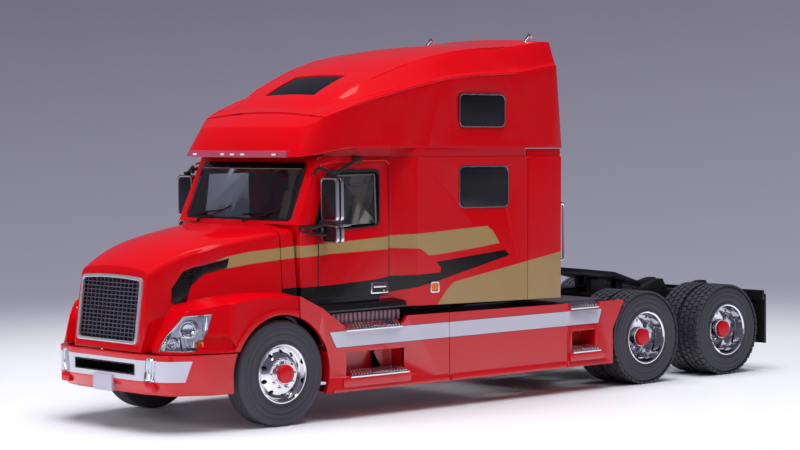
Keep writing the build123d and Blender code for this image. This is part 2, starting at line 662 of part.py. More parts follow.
def cab():
    shell = cab_body() - cab_body(CAB_WALL)
    shell -= screen_cut()
    for s in (1, -1):
        shell -= rounded_slab(s * (DOOR_X - 5), s * (DOOR_X + 5), DOOR_WINDOW, WINDOW_CORNER)
        shell -= rounded_slab(s * (HALF_WIDTH - 4), s * (HALF_WIDTH + 1), corners(*LOWER_WINDOW), WINDOW_CORNER)
    write("cab_shell", rake(shell))
    skin = cab_body(0.1) - cab_body(0.1 + GLASS_T)
    write("windscreen", rake(skin & screen_cut(GLASS_GAP)))
    glass = [skin & rounded_slab(s * (DOOR_X - 5), s * (DOOR_X + 5), DOOR_WINDOW, WINDOW_CORNER, GLASS_GAP)
             for s in (1, -1)]
    write("door_glass", *[rake(g) for g in glass])
    start = SLEEPER_BACK + EXTENDER_GAP
    extender = box(HALF_WIDTH - 1.2, HALF_WIDTH, start, CAB_BACK, CAB_BOTTOM, CAB_TOP)
    extender += box(HALF_WIDTH - 1.2, HALF_WIDTH - CAP_LIP_IN, start, CAB_BACK, CAB_TOP, ROOF_FOOT_Z - EXTENDER_GAP)
    write("side_extenders", *[rake(e) for e in both(extender)])
    panes = []
    for window in (LOWER_WINDOW, UPPER_WINDOW):
        pane = rounded_slab(HALF_WIDTH - CAB_WALL, HALF_WIDTH, corners(*window), WINDOW_CORNER, GLASS_GAP)
        panes += both(pane)
    write("sleeper_windows", *[rake(p) for p in panes])


# --- inside the cab -----------------------------------------------------------------------
FLOOR_T = 1.0
FLOOR_TOP = CAB_BOTTOM + FLOOR_T
SEAT_X = 11.5
SEAT_HALF = 4.4
WHEEL_Y = 20.0
WHEEL_Z = 42.5
WHEEL_R = 4.2
COLUMN_TILT = 62.0


def interior():
    floor = extrude(cab_plan(CAB_BOTTOM, 9.0, 8.2, 23.4, DOOR_X, CAB_WALL), amount=FLOOR_T)
    floor = rake(floor)
    for y in (14.0, 70.0):
        top = CAB_BOTTOM + (CAB_BACK - y) * sin(radians(CAB_RAKE)) + FLOOR_T / 2
        pad = box(8.0, 10.0, y - 1.5, y + 1.5, RAIL_TOP, top)
        for p in both(pad):
            floor += p
    write("cab_floor", floor)
    dash = slab(-30, 30, (6, 34.5), (6, 43.0), (14.0, 42.6), (17.0, 39.5), (17.0, 36.0), (13.0, 34.5))
    legs = slab(-30, 30, (6, FLOOR_TOP), (6, 35), (11.5, 35), (11.5, FLOOR_TOP))
    write("dashboard", rake((dash + legs) & cab_body(CAB_WALL)))
    hub = Pos(SEAT_X, WHEEL_Y, WHEEL_Z) * Rot(COLUMN_TILT - 90, 0, 0)
    wheel = Torus(WHEEL_R, 0.4) + Box(2 * WHEEL_R, 0.8, 0.4) + Cylinder(1.1, 0.7)
    column = Pos(0, 0, -2.9) * Cylinder(0.6, 5.8)
    steering = hub * (wheel + column)
    steering -= (dash + legs)
    write("steering_wheel", rake(steering.solids().sort_by(SortBy.VOLUME)[-1]))
    seat = [(22, FLOOR_TOP + 0.3), (33, FLOOR_TOP + 0.3), (37.5, 54.5), (34, 55.0), (31.6, 38), (22, 37.4)]
    for side, s in (("left", 1), ("right", -1)):
        write(f"seat_{side}", rake(slab(s * SEAT_X - SEAT_HALF, s * SEAT_X + SEAT_HALF, *seat)))
    bunk = box(-HALF_WIDTH + CAB_WALL + 0.3, HALF_WIDTH - CAB_WALL - 0.3, 50, SLEEPER_BACK - CAB_WALL - 0.3,
               FLOOR_TOP + 0.3, 36)
    write("bunk", rake(bunk))


# --- roof cap ---------------------------------------------------------------------------
# station, half width at the foot, brow edge (x, z), gutter (x, z), shoulder (x, z), centre height
ROOF_SECTIONS = (
    (16.2, 24.3, 23.1, 68.4, 17.6, 68.9, 16.0, 69.1, 69.8),
    (22.0, 25.6, 24.6, 70.6, 20.4, 71.3, 17.2, 71.9, 72.8),
    (28.0, 26.6, 25.9, 72.7, 22.2, 73.1, 18.7, 75.3, 76.3),
    (34.5, 27.4, 26.8, 74.4, 23.8, 74.9, 19.8, 78.1, 79.2),
    (41.5, 28.0, 27.4, 76.1, 25.6, 76.5, 21.0, 80.8, 82.0),
    (49.0, 28.3, 27.8, 77.7, 26.6, 78.2, 22.2, 83.0, 84.2),
    (57.0, HALF_WIDTH, 27.8, 78.7, 26.8, 79.3, 22.6, 84.6, 85.8),
    (65.0, HALF_WIDTH, 27.6, 79.2, 26.7, 79.8, 22.8, 85.5, 86.7),
    (73.0, HALF_WIDTH, 27.3, 79.7, 26.5, 80.3, 23.0, 86.0, 87.2),
    (80.5, HALF_WIDTH, 26.8, 80.8, 26.1, 81.4, 23.4, 87.0, 88.2),
    (CAB_BACK, HALF_WIDTH, 26.4, 81.7, 25.8, 82.3, 23.8, 87.6, 88.7),
)
BROW_SECTIONS = ((11.9, 22.8, 21.5, 67.2), (17.6, 24.6, 23.4, 68.8))
BROW_IN = 3.0            # width of the brow's raised edge
BROW_SUNK = 0.3          # the shelf behind the visor's ridge lies this much below it
VISOR_FOOT_Z = 59.3
VISOR_TOP_Z = 67.5
ROOF_FOOT_Z = CAB_TOP + CAP_LIP
BACK_WALL_FROM = SLEEPER_BACK - CAB_WALL


def roof_section(y, foot, x_low, z_low, x_in, z_in, x_up, z_up, z_mid, wall=0.0):
    """The roof cap's cross-section at one station."""
    z0 = ROOF_FOOT_Z - (1 if wall else 0)
    w = wall
    top = ThreePointArc((-x_up + w, z_up - w), (0, z_mid - w), (x_up - w, z_up - w))
    side = [(x_up - w, z_up - w), (x_in - w, z_in - w), (x_low - w, z_low - w), (foot - w, z0)]
    sides = Polyline(*(side + [(-x, z) for x, z in reversed(side)]))
    return Plane(origin=(0, y, 0), x_dir=(1, 0, 0), z_dir=(0, -1, 0)) * make_face([top, *sides.edges()])


def brow_section(y, foot, x, z, wall=0.0):
    """The shelf between visor and crown at one station, its outer edges raised."""
    w = wall
    half = [(foot - w, ROOF_FOOT_Z - (1 if w else 0)), (x - w, z - w), (x - BROW_IN, VISOR_TOP_Z - BROW_SUNK - w)]
    ring = half + [(-a, b) for a, b in reversed(half)]
    return Plane(origin=(0, y, 0), x_dir=(1, 0, 0), z_dir=(0, -1, 0)) * make_face(Polyline(*ring, close=True))


def visor_plan(z, x, y_side, y_mid, back, wall=0.0):
    front = ThreePointArc((-x + wall, y_side + wall), (0, y_mid + wall), (x - wall, y_side + wall))
    rest = Polyline((x - wall, y_side + wall), (x - wall, back), (-x + wall, back), (-x + wall, y_side + wall))
    return Pos(0, 0, z) * make_face([front, *rest.edges()])


def visor(wall=0.0):
    """The deep peak over the windscreen."""
    back = 14.5 + wall
    foot = visor_plan(VISOR_FOOT_Z + wall, 22.8, 11.06, 7.35, back, wall)
    head = visor_plan(VISOR_TOP_Z - wall, 20.6, 12.2, 10.2, back, wall)
    return loft([foot, head], ruled=True)


def cap_body(wall=0.0):
    """The roof cap as a solid, or the space inside its walls."""
    crown = loft([roof_section(*s, wall=wall) for s in ROOF_SECTIONS])
    brow = loft([brow_section(*s, wall=wall) for s in BROW_SECTIONS], ruled=True)
    return Pos(0, wall, 0) * (crown + brow) + visor(wall)


HORN_X = 18.6


def roof(markers):
    inside = cap_body(ROOF_WALL)
    front_room = inside & box(-40, 40, 0, BACK_WALL_FROM, 0, 100)
    rear_room = inside & box(-40, 40, SLEEPER_BACK, CAB_BACK, 0, 100)
    rim = cab_plan(CAB_TOP, 14.4, 12.6, 22.6, DOOR_X - 0.5, CAP_LIP_IN)
    rim_in = cab_plan(CAB_TOP, 14.4, 12.6, 22.6, DOOR_X - 0.5, CAP_LIP_IN + 0.9)
    feet = [(s[1], s[0]) for s in BROW_SECTIONS + ROOF_SECTIONS]
    soffit = extrude(plan_face(ROOF_FOOT_Z, *mirrored(sorted(feet, key=lambda f: f[1]))), amount=0.8)
    band = extrude(rim, amount=ROOF_FOOT_Z - CAB_TOP)
    shell = cap_body() - front_room - rear_room
    shell += soffit & box(-40, 40, 0, SLEEPER_BACK, 0, 100)
    shell += band
    shell -= extrude(rim_in, amount=ROOF_FOOT_Z - CAB_TOP + 0.9)
    shell -= skylight_cut()
    for s in (1, -1):
        shell -= rounded_slab(s * (HALF_WIDTH - 4), s * (HALF_WIDTH + 1), corners(*UPPER_WINDOW), WINDOW_CORNER)
    write("roof_cap", rake(shell))
    pane = (cap_body(0.1) - cap_body(0.9)) & skylight_cut(GLASS_GAP)
    write("skylight", rake(pane))
    lamps = []
    for x, y in ((0, 7.35), (3.94, 7.45), (15.5, 9.1)):
        lamp = box(x - 1.1, x + 1.1, y - 0.35, y + 1.0, 59.6, 60.4)
        lamps += both(lamp) if x else [lamp]
    write("marker_lamps", *[rake(lamp) for lamp in [lamp - visor() for lamp in lamps] + markers])
    horn = Pos(HORN_X, CAB_BACK - 2.0, 88.0) * Cylinder(0.5, 1.0)
    bell = rod_y(0.75, CAB_BACK - 4.0, CAB_BACK - 0.4, HORN_X, 89.2)
    horns = both((horn + bell) - cap_body())
    write("roof_horns", *[rake(h) for h in horns])


# --- mirrors, handles and small fittings -------------------------------------------------
MIRROR_X = (26.2, 30.9)
MIRROR_Y = (13.9, 15.9)
MIRROR_Z = (46.2, 55.4)
SPOT_Z = (40.8, 45.0)
ARM_R = 0.4


def bar(r, *points):
    """A bent round bar through points, its joints filled with balls."""
    body = None
    for a, b in zip(points, points[1:]):
        a, b = Vector(*a), Vector(*b)
        piece = Plane(origin=(a + b) * 0.5, z_dir=b - a) * Cylinder(r, (b - a).length)
        body = piece if body is None else body + piece
    for p in points[1:-1]:
        body += Pos(*p) * Sphere(r)
    return body


def mirrors():
    x0, x1 = MIRROR_X
    y0, y1 = MIRROR_Y
    main = fillet(box(x0, x1, y0, y1, *MIRROR_Z).edges().filter_by(Axis.Y), 0.7)
    spot = fillet(box(x0, x1, y0, y1, *SPOT_Z).edges().filter_by(Axis.Y), 0.7)
    link = Pos((x0 + x1) / 2, (y0 + y1) / 2, (SPOT_Z[1] + MIRROR_Z[0]) / 2) * Cylinder(0.6, MIRROR_Z[0] - SPOT_Z[1])
    heads = main + link + spot
    write("mirror_heads", *both(heads))
    mid = ((x0 + x1) / 2, (y0 + y1) / 2)
    upper = bar(ARM_R, (DOOR_X - 0.3, 25.0, 59.6), (mid[0], mid[1] + 0.5, MIRROR_Z[1] + ARM_R), (24.4, 13.2, 57.3))
    lower = bar(ARM_R, (23.9, 10.2, 44.8), (25.4, 11.6, 44.4), (x0 - 0.1, mid[1], 45.4))
    cab_now = rake(cab_body() + cap_body())
    arms = [piece - heads - cab_now for piece in (upper, lower)]
    write("mirror_arms", *[a for arm in arms for a in both(arm.solids().sort_by(SortBy.VOLUME)[-1])])


def fittings():
    handle = fillet(box(DOOR_X - 0.02, DOOR_X + 0.5, 29.0, 33.6, 28.6, 31.0).edges().filter_by(Axis.X), 0.3)
    marker = box(HALF_WIDTH, HALF_WIDTH + 0.4, 45.9, 47.9, 29.4, 32.6)
    markers = both(marker)
    grab = bar(0.35, (HALF_WIDTH - 0.6, CAB_BACK, 47.5), (HALF_WIDTH - 0.6, CAB_BACK + 1.4, 47.5),
               (HALF_WIDTH - 0.6, CAB_BACK + 1.4, 33.5), (HALF_WIDTH - 0.6, CAB_BACK, 33.5))
    write("handles", *[rake(h) for h in both(handle - cab_body()) + both(grab)])
    return markers


# --- fifth wheel and rear end -----------------------------------------------------------
FIFTH_HALF = 11.0
FIFTH_FRONT = -13.0      # along the plate, from its pivot
FIFTH_RAMP = 6.0
FIFTH_BACK = 19.0
FIFTH_LEAN = 6.5         # the plate rests tilted back, degrees
PLATE_RISE = 3.6         # its top over the pivot
PLATE_T = 1.6
EAR_X = 8.4
LUG_T = 1.6


def fifth_wheel():
    """The coupling plate with its ramps and kingpin slot, and the bracket that carries it."""
    seat = Pos(0, FIFTH_Y, FIFTH_PIVOT_Z) * Rot(-FIFTH_LEAN, 0, 0)
    half = [(7.0, FIFTH_FRONT), (FIFTH_HALF, -7.0), (FIFTH_HALF, FIFTH_RAMP), (8.4, FIFTH_BACK),
            (4.4, FIFTH_BACK), (KINGPIN_SLOT_R, 8.0)]
    side = [(FIFTH_FRONT, PLATE_RISE - PLATE_T), (FIFTH_FRONT, PLATE_RISE), (FIFTH_RAMP, PLATE_RISE),
            (FIFTH_BACK, PLATE_RISE - 2.0), (FIFTH_BACK, PLATE_RISE - 3.2), (FIFTH_RAMP, PLATE_RISE - PLATE_T)]
    plate = slab(-20, 20, *side) & extrude(plan_face(-20, *mirrored(half)), amount=60)
    plate -= box(-KINGPIN_SLOT_R, KINGPIN_SLOT_R, 0, 9.0, -20, 20)
    plate -= Cylinder(KINGPIN_SLOT_R, 40)
    for s in (1, -1):
        plate += box(s * EAR_X - 0.9, s * EAR_X + 0.9, -1.6, 1.6, -1.5, PLATE_RISE - 0.4)
    plate -= rod_x(PIVOT_R + PIVOT_CLEAR, -30, 30, 0, 0)
    write("fifth_wheel_plate", seat * plate)
    base_top = RAIL_TOP + 0.8
    base = box(-12.6, 12.6, FIFTH_Y - 6, FIFTH_Y + 13, RAIL_TOP, base_top)
    base -= box(-6, 6, FIFTH_Y - 4, FIFTH_Y + 9, 0, 40)
    for s in (1, -1):
        x = s * (EAR_X + 0.9 + 0.2 + LUG_T / 2)
        lug = box(x - LUG_T / 2, x + LUG_T / 2, FIFTH_Y - 2.6, FIFTH_Y + 2.6, RAIL_TOP, FIFTH_PIVOT_Z + 1.2)
        pin = rod_x(PIVOT_R, min(s * (EAR_X - 0.9), x), max(s * (EAR_X - 0.9), x), FIFTH_Y, FIFTH_PIVOT_Z)
        base += lug + pin
        stop = box(s * 6.8 - 1.0, s * 6.8 + 1.0, FIFTH_Y + 10, FIFTH_Y + 12.5, RAIL_TOP, FIFTH_PIVOT_Z + 2)
        above = slab(-20, 20, *side[-1:], *side[-2:-1], (FIFTH_BACK, 30), (FIFTH_RAMP, 30))
        base += stop - seat * Pos(0, 0, -0.04) * above
    write("fifth_wheel_bracket", base)


def rear_end():
    flap = box(14.0, 28.2, REAR_END - 0.7, REAR_END, 7.3, 20.6)
    write("mud_flaps", *both(flap))
    bar_top = box(-28.2, 28.2, REAR_END - 1.4, REAR_END - 0.7, 19.0, 21.6)
    write("rear_crossbar", bar_top)
    lamp = rod_y(1.1, REAR_END - 0.7, REAR_END - 0.1, 11.8, 19.6)
    write("tail_lamps", *both(lamp))


wheels()
chassis()
side_skirts()
nose()
cab()
interior()
roof(fittings())
mirrors()
fifth_wheel()
rear_end()
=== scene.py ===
"""Dresses a packed 1:43 collector model of a sleeper tractor: paint, livery, glass, wheels and fittings.

Lengths are millimetres of the model. A station is a point (x, y, z): x to the truck's left, y back from
the front axle, z up from the floor. Piece.seat() turns a finished piece into metres of the shared frame.
"""

import logging
import math
from contextlib import contextmanager
from dataclasses import dataclass
from enum import Enum
from typing import Callable, Iterator, Sequence

import bmesh
import bpy
from mathutils import Matrix, Vector


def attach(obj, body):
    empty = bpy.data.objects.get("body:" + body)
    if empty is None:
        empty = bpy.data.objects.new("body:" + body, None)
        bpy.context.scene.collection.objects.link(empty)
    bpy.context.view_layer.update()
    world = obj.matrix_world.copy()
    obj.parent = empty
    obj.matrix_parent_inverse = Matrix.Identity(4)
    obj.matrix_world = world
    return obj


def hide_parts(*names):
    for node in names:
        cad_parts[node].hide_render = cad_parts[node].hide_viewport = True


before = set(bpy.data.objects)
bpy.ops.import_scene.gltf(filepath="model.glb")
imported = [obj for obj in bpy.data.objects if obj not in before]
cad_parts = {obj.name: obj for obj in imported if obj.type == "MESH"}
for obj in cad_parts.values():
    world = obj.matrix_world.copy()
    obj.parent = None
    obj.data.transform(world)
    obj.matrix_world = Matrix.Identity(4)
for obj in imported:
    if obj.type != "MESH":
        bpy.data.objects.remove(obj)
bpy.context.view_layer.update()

log = logging.getLogger("tractor")

MM = 0.001                     # metres in a millimetre
ORIGIN = (0.0, 0.0, 0.0)
MID_STATION = 67.5             # station of the frame's origin
CAB_RAKE = math.radians(1.0)   # the cab sits nose up
CAB_PIVOT = (87.4, 24.1)       # station and height that the cab is raked about
AXLE_Z = 12.0                  # height of the axles
FRONT_WHEEL_X = 24.75          # middle of a front wheel
TWIN_X = (24.9, 17.3)          # middles of the outer and the inner drive wheel
TO_ROW = Matrix.Scale(MM, 4) @ Matrix.Translation((0.0, -MID_STATION, 0.0))

Point = tuple[float, float, float]
Flat = tuple[float, float]
Span = tuple[float, float]
Box = tuple[float, float, float, float]   # start and end, then start and end the other way
Colour = tuple[float, float, float, float]
Tree = bpy.types.NodeTree
Socket = bpy.types.NodeSocket
Node = bpy.types.Node
FaceTest = Callable[[Vector, Vector], bool]   # takes a face's middle and its normal


class Body(Enum):
    """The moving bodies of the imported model."""

    TRUCK = "truck"
    FRONT_WHEELS = "front_wheels"
    DRIVE_WHEELS_1 = "drive_wheels_1"
    DRIVE_WHEELS_2 = "drive_wheels_2"
    COUPLING = "coupling_plate"


DRIVE_AXLES = ((1, 118.3, Body.DRIVE_WHEELS_1), (2, 149.3, Body.DRIVE_WHEELS_2))   # number, station and body


class Side(Enum):
    """Left is +x, right is -x."""

    LEFT = 1
    RIGHT = -1


class Axis(Enum):
    """The axis that an outline is extruded along or a profile is spun about."""

    X = 0
    Y = 1
    Z = 2


# --- colours and shader nodes ---


def linear(hex_colour: str) -> Colour:
    """Turns an sRGB hex colour into linear light.

    Args:
        hex_colour: six hex digits after a hash.

    Returns:
        Red, green, blue and alpha as a shader socket takes them.
    """
    channels = [int(hex_colour[i:i + 2], 16) / 255 for i in (1, 3, 5)]
    curve = [c / 12.92 if c <= 0.04045 else ((c + 0.055) / 1.055) ** 2.4 for c in channels]
    return (curve[0], curve[1], curve[2], 1.0)


def add_node(tree: Tree, kind: str, inputs: dict | None = None, **settings: object) -> Node:
    """Adds a node, sets it up and links what feeds it.

    Args:
        tree: the material's node tree.
        kind: the node's type, without the ShaderNode prefix.
        inputs: socket name or number to a value, or to the output socket that feeds it.
        **settings: the node's own properties.

    Returns:
        The new node.
    """
    node = tree.nodes.new("ShaderNode" + kind)
    for key, value in settings.items():
        setattr(node, key, value)
    for key, value in (inputs or {}).items():
        socket = node.inputs[key]
        if isinstance(value, Socket):
            tree.links.new(value, socket)
        else:
            socket.default_value = value
    return node


def stations(tree: Tree) -> Socket:
    """Gives a point's place in millimetres, as a station, from its Object coordinates.

    Args:
        tree: the material's node tree.

    Returns:
        The place's socket.
    """
    place = add_node(tree, "TexCoord").outputs["Object"]
    scaled = add_node(tree, "VectorMath", {0: place, 1: (1 / MM, 1 / MM, 1 / MM)}, operation="MULTIPLY")
    return add_node(tree, "VectorMath", {0: scaled.outputs[0], 1: (0.0, MID_STATION, 0.0)}).outputs[0]


@dataclass(frozen=True)
class Patch:
    """A printed patch: a convex outline on a side or front view, given as flat points in order round it."""

    points: tuple[Flat, ...]
    across: Axis = Axis.Y
    up: Axis = Axis.Z

    def mask(self, tree: Tree, place: Socket, soft: float) -> Socket:
        """Builds the patch's mask.

        Args:
            tree: the material's node tree.
            place: the shaded point in stations.
            soft: width of the printed edge's blur, mm.

        Returns:
            A socket that is 1 inside the patch and 0 outside.
        """
        middle = [sum(p[i] for p in self.points) / len(self.points) for i in (0, 1)]
        depth = None
        for (a0, a1), (b0, b1) in zip(self.points, self.points[1:] + self.points[:1]):
            length = math.hypot(b0 - a0, b1 - a1)
            n0, n1 = (b1 - a1) / length, (a0 - b0) / length
            if n0 * (middle[0] - a0) + n1 * (middle[1] - a1) < 0:
                n0, n1 = -n0, -n1
            normal = [0.0, 0.0, 0.0]
            normal[self.across.value] = n0
            normal[self.up.value] = n1
            inside = add_node(tree, "VectorMath", {0: place, 1: normal}, operation="DOT_PRODUCT")
            edge = add_node(tree, "Math", {0: inside.outputs["Value"], 1: n0 * a0 + n1 * a1}, operation="SUBTRACT")
            if depth is None:
                depth = edge.outputs[0]
            else:
                depth = add_node(tree, "Math", {0: depth, 1: edge.outputs[0]}, operation="MINIMUM").outputs[0]
        share = add_node(tree, "Math", {0: depth, 1: 1 / soft, 2: 0.5}, operation="MULTIPLY_ADD", use_clamp=True)
        return share.outputs[0]


def either(tree: Tree, masks: Sequence[Socket]) -> Socket:
    """Joins masks.

    Args:
        tree: the material's node tree.
        masks: the sockets that are joined.

    Returns:
        A socket that is 1 where any of them is.
    """
    joined = masks[0]
    for mask in masks[1:]:
        joined = add_node(tree, "Math", {0: joined, 1: mask}, operation="MAXIMUM").outputs[0]
    return joined


def blend(tree: Tree, share: Socket, below: object, above: object) -> Socket:
    """Mixes two colours by a mask.

    Args:
        tree: the material's node tree.
        share: the mask.
        below: the colour where it is 0.
        above: the colour where it is 1.

    Returns:
        The mixed colour's socket.
    """
    mix = add_node(tree, "Mix", {0: share, 6: below, 7: above}, data_type="RGBA")
    return mix.outputs[2]


# --- finishes ---


CLOUD_GRAINS = 14       # how many grains wide the clouds of uneven colour are
WAVE_RADIANS = 20.0     # what a wave texture of scale 1 turns through in a unit


@dataclass(frozen=True)
class Finish:
    """A real material and how its surface was made. Subclasses add their own pattern."""

    name: str
    slot: str
    colour: str
    roughness: float = 0.4
    metallic: float = 0.0
    ior: float = 1.5
    grain_mm: float = 0.5        # size of the surface's texture
    grain_depth: float = 0.02    # height of the texture, mm
    mottle: float = 0.06         # how much the colour varies, as a share
    coat: float = 0.0
    coat_roughness: float = 0.04

    def material(self) -> bpy.types.Material:
        """Gives the finish's material, and builds it the first time.

        Returns:
            The material.
        """
        found = bpy.data.materials.get(self.name)
        if found:
            return found
        material = bpy.data.materials.new(self.name)
        material.use_nodes = True
        tree = material.node_tree
        shader = tree.nodes["Principled BSDF"]
        shader.inputs["Base Color"].default_value = linear(self.colour)
        shader.inputs["Roughness"].default_value = self.roughness
        shader.inputs["Metallic"].default_value = self.metallic
        if not self.metallic:
            shader.inputs["IOR"].default_value = self.ior
        shader.inputs["Coat Weight"].default_value = self.coat
        shader.inputs["Coat Roughness"].default_value = self.coat_roughness
        self.dress(tree, shader)
        return material

    def dress(self, tree: Tree, shader: Node) -> None:
        """Adds colour variation, uneven gloss and a fine texture.

        Args:
            tree: the material's node tree.
            shader: its principled shader.
        """
        place = stations(tree)
        self.vary(tree, shader, place, linear(self.colour))
        self.texture(tree, shader, place)

    def vary(self, tree: Tree, shader: Node, place: Socket, colour: Colour | Socket) -> None:
        """Makes the colour and the gloss slightly uneven, as moulded or sprayed surfaces are.

        Args:
            tree: the material's node tree.
            shader: its principled shader.
            place: the shaded point in stations.
            colour: the colour that is varied.
        """
        scale = 1 / (self.grain_mm * CLOUD_GRAINS)
        cloud = add_node(tree, "TexNoise", {"Vector": place, "Scale": scale, "Detail": 3.0})
        swing = add_node(tree, "MapRange", {0: cloud.outputs[0], 3: 1 - self.mottle, 4: 1 + self.mottle})
        flat = colour if isinstance(colour, Socket) else colour[:3]
        tinted = add_node(tree, "VectorMath", {0: flat, "Scale": swing.outputs[0]}, operation="SCALE")
        tree.links.new(tinted.outputs[0], shader.inputs["Base Color"])
        gloss = add_node(tree, "MapRange", {0: cloud.outputs[0], 3: self.roughness * 0.85, 4: self.roughness * 1.2})
        tree.links.new(gloss.outputs[0], shader.inputs["Roughness"])

    def texture(self, tree: Tree, shader: Node, place: Socket) -> None:
        """Adds the fine texture as a bump of its real height.

        Args:
            tree: the material's node tree.
            shader: its principled shader.
            place: the shaded point in stations.
        """
        grain = add_node(tree, "TexNoise", {"Vector": place, "Scale": 1 / self.grain_mm, "Detail": 2.0})
        bump = add_node(tree, "Bump", {"Height": grain.outputs[0], "Distance": self.grain_depth * MM, "Strength": 0.6})
        tree.links.new(bump.outputs[0], shader.inputs["Normal"])


GOLD = "#9F8458"
INK_BLACK = "#080706"
SILVER = "#C2C0CF"

GOLD_PATCHES = (
    Patch(((-12.6, 36.6), (-8.0, 38.4), (-2.5, 39.3), (-2.5, 36.5), (-8.35, 35.7))),
    Patch(((-2.5, 39.3), (6.5, 39.95), (6.5, 37.3), (-2.5, 36.5))),
    Patch(((6.5, 40.0), (6.5, 37.3), (16.7, 38.1), (16.7, 40.6))),
    Patch(((16.7, 40.6), (16.7, 38.1), (34.3, 38.4), (34.3, 41.4))),
    Patch(((34.3, 41.6), (34.3, 38.7), (47.0, 38.1), (59.4, 37.8), (66.8, 38.6), (64.6, 41.6), (62.7, 42.9))),
    Patch(((40.6, 38.8), (44.0, 36.6), (47.8, 36.8), (59.4, 37.8), (59.4, 38.8))),
    Patch(((46.6, 25.1), (49.4, 28.1), (51.0, 29.4), (52.1, 30.0), (88.0, 35.7), (88.0, 20.0), (44.6, 20.0))),
)
BLACK_PATCHES = (
    Patch(((4.9, 30.6), (16.6, 30.9), (16.6, 20.0), (4.9, 20.0))),
    Patch(((16.6, 30.9), (31.7, 31.6), (31.7, 27.2), (29.7, 25.5), (16.6, 25.5))),
    Patch(((16.6, 25.6), (29.7, 25.6), (29.7, 20.0), (16.6, 20.0))),
    Patch(((31.5, 31.55), (34.2, 32.1), (34.2, 28.3), (32.2, 27.6), (29.7, 25.5))),
    Patch(((34.2, 32.1), (47.4, 32.4), (51.9, 31.6), (47.4, 30.6), (34.2, 28.2))),
    Patch(((46.2, 35.0), (68.6, 36.9), (69.9, 35.5), (51.9, 31.6), (47.7, 33.5))),
    Patch(((47.4, 32.4), (47.7, 33.5), (51.9, 31.6), (47.4, 30.6))),
)
SKIRT_BAND = (Patch(((13.4, 20.4), (15.3, 16.75), (100.4, 16.95), (101.6, 20.5))),)
SKIRT_LINE = (Patch(((13.0, 20.55), (15.1, 16.6), (100.6, 16.8), (101.9, 20.65))),)
BUMPER_BAND = (Patch(((-40.0, 16.2), (-40.0, 11.6), (-23.9, 11.6), (-22.5, 16.2))),)


@dataclass(frozen=True)
class Enamel(Finish):
    """Sprayed gloss enamel over a zinc casting, with tampo prints in flat inks under the lacquer."""

    coat: float = 0.55
    specular: float = 0.05
    prints: tuple[tuple[str, tuple[Patch, ...]], ...] = ()
    print_edge: float = 0.05     # blur of a print's edge, mm

    def dress(self, tree: Tree, shader: Node) -> None:
        """Lays the prints over the base colour, then an orange-peel lacquer.

        Args:
            tree: the material's node tree.
            shader: its principled shader.
        """
        shader.inputs["Specular IOR Level"].default_value = self.specular
        place = stations(tree)
        colour: Colour | Socket = linear(self.colour)
        for ink, patches in self.prints:
            masks = [patch.mask(tree, place, self.print_edge) for patch in patches]
            colour = blend(tree, either(tree, masks), colour, linear(ink))
        self.vary(tree, shader, place, colour)
        self.texture(tree, shader, place)


@dataclass(frozen=True)
class Clear(Finish):
    """Injection-moulded clear polystyrene, glossy and slightly uneven."""

    transmission: float = 1.0

    def dress(self, tree: Tree, shader: Node) -> None:
        """Sets the transmission on the shader and gives the moulded waviness.

        Args:
            tree: the material's node tree.
            shader: its principled shader.
        """
        shader.inputs["Transmission Weight"].default_value = self.transmission
        self.texture(tree, shader, stations(tree))


@dataclass(frozen=True)
class Edged(Clear):
    """Clear polystyrene whose rim is printed black, with a thin light line inside the print."""

    clear_area: tuple[Patch, ...] = ()
    line_area: tuple[Patch, ...] = ()
    line_colour: str = "#6F6B6B"
    print_edge: float = 0.08     # blur of the print's edge, mm

    def dress(self, tree: Tree, shader: Node) -> None:
        """Mixes an opaque black print with the clear pane.

        Args:
            tree: the material's node tree.
            shader: its principled shader.
        """
        super().dress(tree, shader)
        place = stations(tree)
        clear, line = (either(tree, [patch.mask(tree, place, self.print_edge) for patch in area])
                       for area in (self.clear_area, self.line_area))
        black = blend(tree, line, linear(INK_BLACK), linear(self.line_colour))
        ink = add_node(tree, "BsdfPrincipled", {"Base Color": black, "Roughness": 0.25, "Coat Weight": 0.6})
        mixed = add_node(tree, "MixShader", {0: clear, 1: ink.outputs[0], 2: shader.outputs[0]})
        tree.links.new(mixed.outputs[0], tree.nodes["Material Output"].inputs["Surface"])


@dataclass(frozen=True)
class Vented(Finish):
    """Gloss black ABS moulded with a fine honeycomb of pits."""

    pitch_mm: float = 0.55
    pit_depth: float = 0.18      # mm

    def texture(self, tree: Tree, shader: Node, place: Socket) -> None:
        """Presses the honeycomb in as a bump.

        Args:
            tree: the material's node tree.
            shader: its principled shader.
            place: the shaded point in stations.
        """
        cells = add_node(tree, "TexVoronoi", {"Vector": place, "Scale": 1 / self.pitch_mm, "Randomness": 0.35})
        pit = add_node(tree, "MapRange", {0: cells.outputs["Distance"], 1: 0.25, 2: 0.42})
        bump = add_node(tree, "Bump", {"Height": pit.outputs[0], "Distance": self.pit_depth * MM, "Strength": 1.0})
        tree.links.new(bump.outputs[0], shader.inputs["Normal"])


@dataclass(frozen=True)
class Hatched(Finish):
    """Grey printed plastic with a hatching of dark red bars."""

    bar_mm: float = 1.3
    ink: str = "#5E1428"

    def dress(self, tree: Tree, shader: Node) -> None:
        """Prints the bars over the grey.

        Args:
            tree: the material's node tree.
            shader: its principled shader.
        """
        place = stations(tree)
        scale = math.tau / WAVE_RADIANS / self.bar_mm
        bars = add_node(tree, "TexWave", {"Vector": place, "Scale": scale, "Distortion": 1.5, "Detail": 1.0,
                                          "Detail Scale": 1.0}, bands_direction="Y")
        bare = add_node(tree, "MapRange", {0: bars.outputs["Fac"], 1: 0.35, 2: 0.55}).outputs[0]
        self.vary(tree, shader, place, blend(tree, bare, linear(self.ink), linear(self.colour)))
        self.texture(tree, shader, place)


